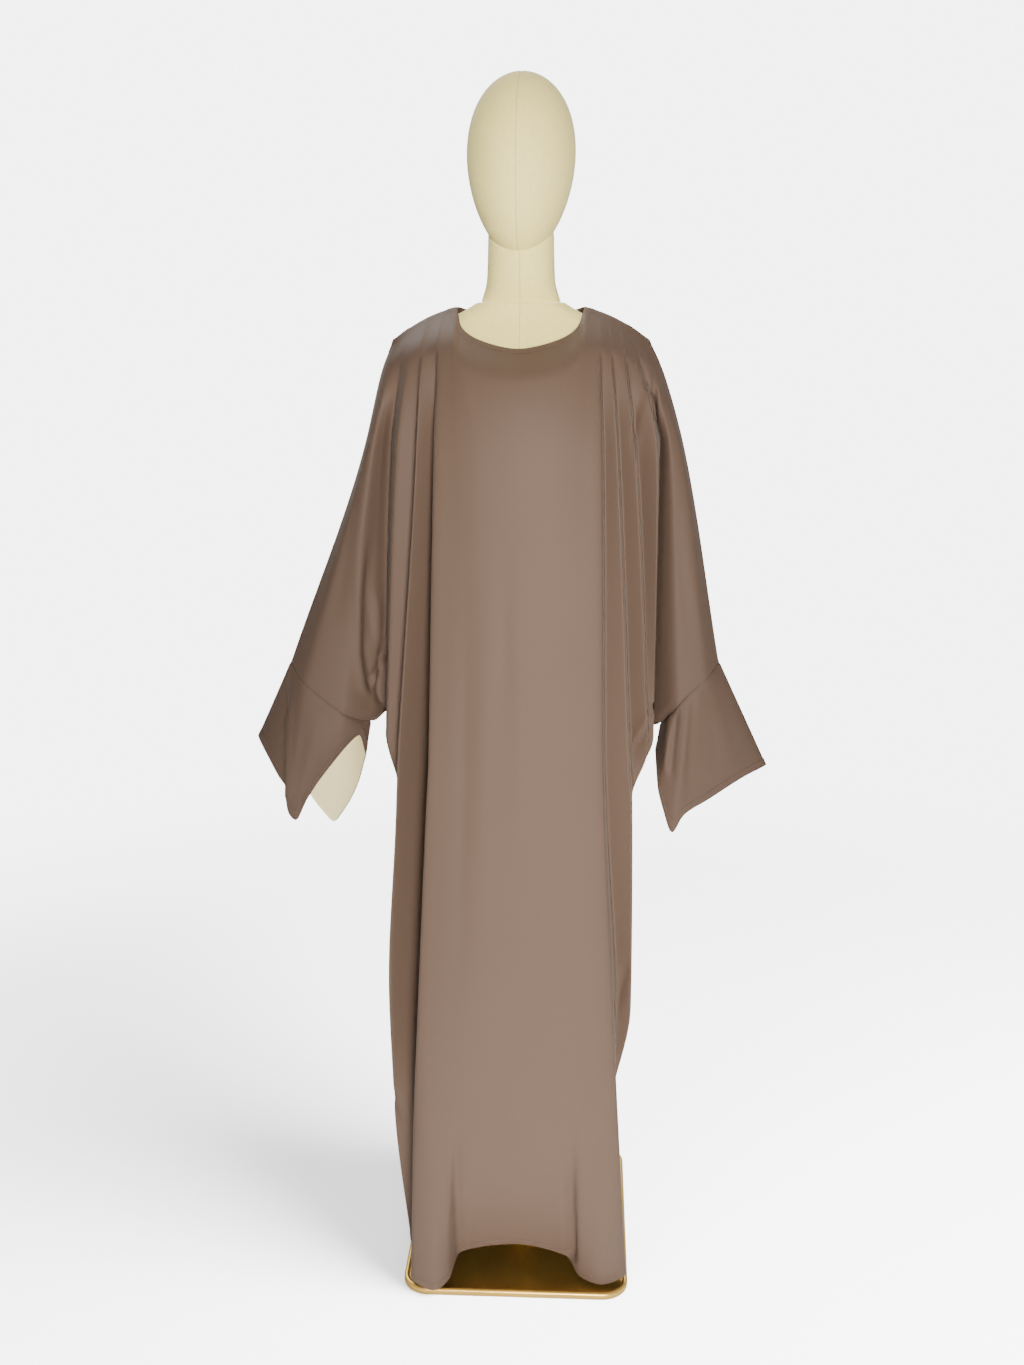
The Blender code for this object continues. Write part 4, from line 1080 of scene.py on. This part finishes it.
# ---- finishes
def yarn_grain():
    """Uneven fine yarns on a cloth: a height for bump, and a shade that wanders about zero."""
    inputs = (("Place", "Vector", None), ("Yarn", "Float", 0.0005), ("Slub length", "Float", 0.006))
    outputs = (("Height", "Float", None), ("Shade", "Float", None))
    tree, given = new_tree("ShaderNodeTree", "yarn_grain", inputs, outputs)
    across = maths(tree, "DIVIDE", 1.0, given["Yarn"])
    along = maths(tree, "DIVIDE", 1.0, given["Slub length"])
    heights = []
    for x, y in ((across, along), (along, across)):
        stretch = add_node(tree, "ShaderNodeCombineXYZ", {"X": x, "Y": y, "Z": y})[0]
        values = {0: given["Place"], 1: stretch}
        spread = add_node(tree, "ShaderNodeVectorMath", values, operation="MULTIPLY")[0]
        values = {"Vector": spread, "Scale": 1.0, "Detail": 2.0, "Roughness": 0.55}
        heights.append(add_node(tree, "ShaderNodeTexNoise", values)["Fac"])
    height = maths(tree, "MULTIPLY", maths(tree, "ADD", *heights), 0.5)
    shade = maths(tree, "SUBTRACT", height, 0.5)
    add_node(tree, "NodeGroupOutput", {"Height": height, "Shade": shade})
    return tree


def soft_patches():
    """A slow change of tone over a surface, and a factor that shades it: one plus the change."""
    inputs = (("Place", "Vector", None), ("Size", "Float", 0.1), ("Change", "Float", 0.05))
    outputs = (("Factor", "Float", None),)
    tree, given = new_tree("ShaderNodeTree", "soft_patches", inputs, outputs)
    scale = maths(tree, "DIVIDE", 1.0, given["Size"])
    values = {"Vector": given["Place"], "Scale": scale, "Detail": 3.0}
    cloud = add_node(tree, "ShaderNodeTexNoise", values)["Fac"]
    change = maths(tree, "SUBTRACT", cloud, 0.5)
    factor = one_plus(tree, change, given["Change"])
    add_node(tree, "NodeGroupOutput", {"Factor": factor})
    return tree


def dark_seam_and_painted_shade_line():
    """A dark hairline at one distance from a seam or a hem, as a factor, one elsewhere. It paints
    shade into the crepe's seam grooves and at its hem band's step, and draws the linen's seam.
    """
    inputs = (
        ("Distance", "Float", 1.0),
        ("Place", "Float", 0.0),
        ("Half width", "Float", 0.001),
        ("Depth", "Float", 0.3),
    )
    outputs = (("Factor", "Float", None),)
    tree, given = new_tree("ShaderNodeTree", "dark_seam_and_painted_shade_line", inputs, outputs)
    off = maths(tree, "SUBTRACT", given["Distance"], given["Place"])
    values = {
        "Value": maths(tree, "ABSOLUTE", off),
        "From Max": given["Half width"],
        "To Min": given["Depth"],
        "To Max": 0.0,
    }
    line = add_node(tree, "ShaderNodeMapRange", values, interpolation_type="SMOOTHSTEP")
    factor = maths(tree, "SUBTRACT", 1.0, line[0])
    add_node(tree, "NodeGroupOutput", {"Factor": factor})
    return tree


def new_finish(name, constants):
    """A material with these constants on its Principled BSDF."""
    made = bpy.data.materials.new(name)
    made.use_nodes = True
    shader = made.node_tree.nodes["Principled BSDF"]
    for socket, value in constants.items():
        shader.inputs[socket].default_value = value
    return made, made.node_tree, shader


def use_group(tree, group, values):
    return add_node(tree, "ShaderNodeGroup", values, node_tree=group)


def object_place(tree):
    return add_node(tree, "ShaderNodeTexCoord")["Object"]


def cut_place(tree):
    return add_node(tree, "ShaderNodeUVMap", uv_map="cut")["UV"]


def times(tree, *factors):
    """The product of numbers and sockets."""
    product = factors[0]
    for factor in factors[1:]:
        product = maths(tree, "MULTIPLY", product, factor)
    return product


def one_plus(tree, value, amount):
    return maths(tree, "MULTIPLY_ADD", value, amount, 1.0)


def colour_surface(tree, shader, colour, factor):
    """The colour times a factor that changes over the surface."""
    values = {0: colour, "Scale": factor}
    shaded = add_node(tree, "ShaderNodeVectorMath", values, operation="SCALE")["Vector"]
    tree.links.new(shaded, shader.inputs["Base Color"])


def bump(tree, shader, height, depth, strength):
    values = {"Strength": strength, "Distance": depth, "Height": height}
    made = add_node(tree, "ShaderNodeBump", values)
    tree.links.new(made["Normal"], shader.inputs["Normal"])


def patch_factor(tree, groups, size, change):
    values = {"Place": object_place(tree), "Size": size, "Change": change}
    return use_group(tree, groups["patches"], values)["Factor"]


def line_factor(tree, groups, line):
    """The hairline where a kept distance equals the line's place."""
    kept = add_node(tree, "ShaderNodeAttribute", attribute_name=line.distance)["Fac"]
    values = {
        "Distance": kept,
        "Place": line.place,
        "Half width": line.half_width,
        "Depth": line.depth,
    }
    return use_group(tree, groups["line"], values)["Factor"]


def weave(tree, shader, groups, look, place):
    """A cloth's yarns, soft patches and hairlines. Its yarns lie along the axes of place."""
    values = {"Place": place, "Yarn": look.yarn, "Slub length": look.slub}
    yarns = use_group(tree, groups["grain"], values)
    tone = patch_factor(tree, groups, look.patch, look.change)
    lines = [line_factor(tree, groups, line) for line in look.lines]
    # The hairlines darken the colour: painted shade on the crepe, a seam line on the linen.
    factor = times(tree, tone, *lines, one_plus(tree, yarns["Shade"], look.uneven))
    colour_surface(tree, shader, look.colour, factor)
    bump(tree, shader, yarns["Height"], look.bump_depth, look.bump_strength)


def crepe_finish(groups):
    """Satin crepe: fine pebbled yarns, a faint vertical slub, and painted shade as dark hairlines
    in its seams and at the step where its hem band ends.
    """
    constants = {
        "Roughness": 0.60,
        "Specular IOR Level": 0.18,
        "Sheen Weight": 0.06,
        "Sheen Roughness": 0.40,
        "Sheen Tint": (1.0, 0.90, 0.82, 1.0),
    }
    made, tree, shader = new_finish("taupe satin crepe", constants)
    weave(tree, shader, groups, CREPE_LOOK, cut_place(tree))
    return made


def lining_finish(groups):
    constants = {
        "Roughness": 0.46,
        "Specular IOR Level": 0.40,
        "Sheen Weight": 0.15,
        "Sheen Roughness": 0.40,
    }
    made, tree, shader = new_finish("cream lining", constants)
    weave(tree, shader, groups, LINING_LOOK, cut_place(tree))
    return made


def linen_finish(groups):
    """The form's cover: plain linen with slubs, sewn down its middle."""
    constants = {"Roughness": 0.80, "Specular IOR Level": 0.25, "Sheen Weight": 0.12}
    made, tree, shader = new_finish("form linen", constants)
    weave(tree, shader, groups, LINEN_LOOK, object_place(tree))
    return made


def gold_finish(groups):
    """Gold-coloured metal with fine brushing and faint smears."""
    made, tree, shader = new_finish("gold metal", {"Metallic": 0.82})
    colour_surface(tree, shader, GOLD, patch_factor(tree, groups, *GOLD_TONE))
    rough = times(tree, patch_factor(tree, groups, *GOLD_SMEARS), GOLD_ROUGHNESS)
    tree.links.new(rough, shader.inputs["Roughness"])
    values = {"Place": object_place(tree), "Yarn": BRUSH_LINE, "Slub length": BRUSH_STROKE}
    brushing = use_group(tree, groups["grain"], values)
    bump(tree, shader, brushing["Height"], *GOLD_BUMP)
    return made


def thread_finish():
    constants = {"Roughness": 0.45, "Specular IOR Level": 0.45, "Sheen Weight": 0.2}
    made, tree, shader = new_finish("taupe thread", constants)
    values = {"Vector": object_place(tree), "Scale": 1 / THREAD_TWIST, "Detail": 1.0}
    twist = add_node(tree, "ShaderNodeTexNoise", values)["Fac"]
    colour_surface(tree, shader, THREAD, one_plus(tree, twist, THREAD_SHADE))
    return made


# ---- studio
def make_floor():
    """A wide pale floor that fades out, so that it meets the surroundings with no edge. What it
    gives the camera, mirrors and other surfaces differs."""
    bpy.ops.mesh.primitive_plane_add(size=2 * FLOOR_HALF, location=(0, 0, 0))
    floor = bpy.context.object
    floor.name = "studio_floor"
    constants = {"Roughness": 0.9, "Specular IOR Level": 0.1}
    made, tree, shader = new_finish("studio floor", constants)
    far = add_node(tree, "ShaderNodeVectorMath", {0: object_place(tree)}, operation="LENGTH")
    values = {
        "Value": far["Value"],
        "From Min": FLOOR_FADE[0],
        "From Max": FLOOR_FADE[1],
        "To Min": 1.0,
        "To Max": 0.0,
    }
    fade = add_node(tree, "ShaderNodeMapRange", values, interpolation_type="SMOOTHERSTEP")
    rays = add_node(tree, "ShaderNodeLightPath")
    colour = (*FLOOR_LIT_BACK, 1.0)
    for ray, other in (("Is Glossy Ray", FLOOR_MIRRORED), ("Is Camera Ray", FLOOR_COLOUR)):
        values = {"Factor": rays[ray], 6: colour, 7: (*other, 1.0)}
        colour = add_node(tree, "ShaderNodeMix", values, data_type="RGBA")[2]
    tree.links.new(colour, shader.inputs["Base Color"])
    tree.links.new(fade["Result"], shader.inputs["Alpha"])
    floor.data.materials.append(made)
    return floor


def glow(tree, colour, strength):
    values = {"Color": (*colour, 1.0), "Strength": strength}
    return add_node(tree, "ShaderNodeBackground", values)[0]


def make_surroundings():
    """Even surroundings: pale to the camera, dimmer to mirrors, and dimmer still as light."""
    world = bpy.data.worlds.new("studio")
    bpy.context.scene.world = world
    world.use_nodes = True
    tree = world.node_tree
    tree.nodes.clear()
    rays = add_node(tree, "ShaderNodeLightPath")
    light = glow(tree, SKY, SKY_GLOW)
    for ray, colour, strength in (
        ("Is Glossy Ray", SKY, MIRRORED_GLOW),
        ("Is Camera Ray", BACKDROP, BACKDROP_GLOW),
    ):
        values = {0: rays[ray], 1: light, 2: glow(tree, colour, strength)}
        light = add_node(tree, "ShaderNodeMixShader", values)[0]
    add_node(tree, "ShaderNodeOutputWorld", {"Surface": light})


def make_lights(floor):
    """The lamps. Some light only the floor, where the object's shadow falls across it."""
    floor_alone = bpy.data.collections.new("floor_alone")
    floor_alone.objects.link(floor)
    for lamp in LAMPS:
        light = bpy.data.lights.new(lamp.name, "AREA")
        light.shape = "RECTANGLE"
        light.size = lamp.width
        light.size_y = lamp.height
        light.energy = lamp.watts
        light.color = lamp.colour
        light.spread = np.radians(lamp.spread)
        held = add_object(lamp.name, light)
        held.location = lamp.place
        way = Vector(lamp.aim) - Vector(lamp.place)
        held.rotation_euler = way.to_track_quat("-Z", "Y").to_euler()
        if lamp.floor_only:
            held.light_linking.receiver_collection = floor_alone


def make_camera():
    lens = bpy.data.cameras.new("camera")
    lens.lens = CAMERA_LENS
    lens.sensor_width = CAMERA_SENSOR
    camera = add_object("camera", lens)
    round_by = np.radians(CAMERA_ROUND)
    x = CAMERA_REACH * np.sin(round_by)
    y = CAMERA_REACH * -np.cos(round_by) + CAMERA_AIM_Y
    camera.location = (x, y, CAMERA_HEIGHT)
    camera.rotation_euler = (np.radians(90 - CAMERA_FALL), 0, np.radians(CAMERA_TURN))
    bpy.context.scene.camera = camera


# ---- assembly
def make_cloth(garment, node, ids, outward, layer, finish):
    """One sheet of cloth, which stands for the node."""
    piece = cloth_shell("abaya_" + node, garment, ids, outward, layer, finish)
    stands_for(piece, node)


def make_clothes(garment, crepe, lining):
    """The crepe pieces, and the lining that starts just below each cuff's seam."""
    for name, ids in garment.grids.items():
        outward = garment.outward[name]
        make_cloth(garment, name, ids, outward, CREPE_LAYER, crepe)
        if name.startswith("cuff"):
            node = name.replace("cuff", "cuff_lining")
            below_seam = ids[:, len(SEAM_STEPS) :]
            make_cloth(garment, node, below_seam, outward, LINING_LAYER, lining)


def hem_stitches(garment, thread):
    """Stitches above the skirt's hem and each cuff's hem, on the row where the band ends."""
    row = -2 - HEM_STEPS.index(HEM_BAND)
    front, back = (garment.grids[name][:, row] for name in ("front_panel", "back_panel"))
    loops = {"hem_stitches": np.concatenate((front[front >= 0], back[back >= 0][::-1][1:-1]))}
    for side in ("left", "right"):
        loops[f"cuff_stitches_{side}"] = garment.grids[f"cuff_{side}"][:-1, row]
    tree = stitch_tree()
    for seed, (name, numbers) in enumerate(loops.items(), start=1):
        points = garment.points[numbers] + STITCH_PROUD * garment.normals[numbers]
        stitch_row(name, tree, points, thread, seed)


def main():
    make_camera()
    groups = {"grain": yarn_grain(), "patches": soft_patches(), "line": dark_seam_and_painted_shade_line()}
    make_form(linen_finish(groups))
    make_plate(gold_finish(groups))
    garment = make_garment()
    garment.crease()
    make_clothes(garment, crepe_finish(groups), lining_finish(groups))
    hem_stitches(garment, thread_finish())
    make_surroundings()
    make_lights(make_floor())


main()
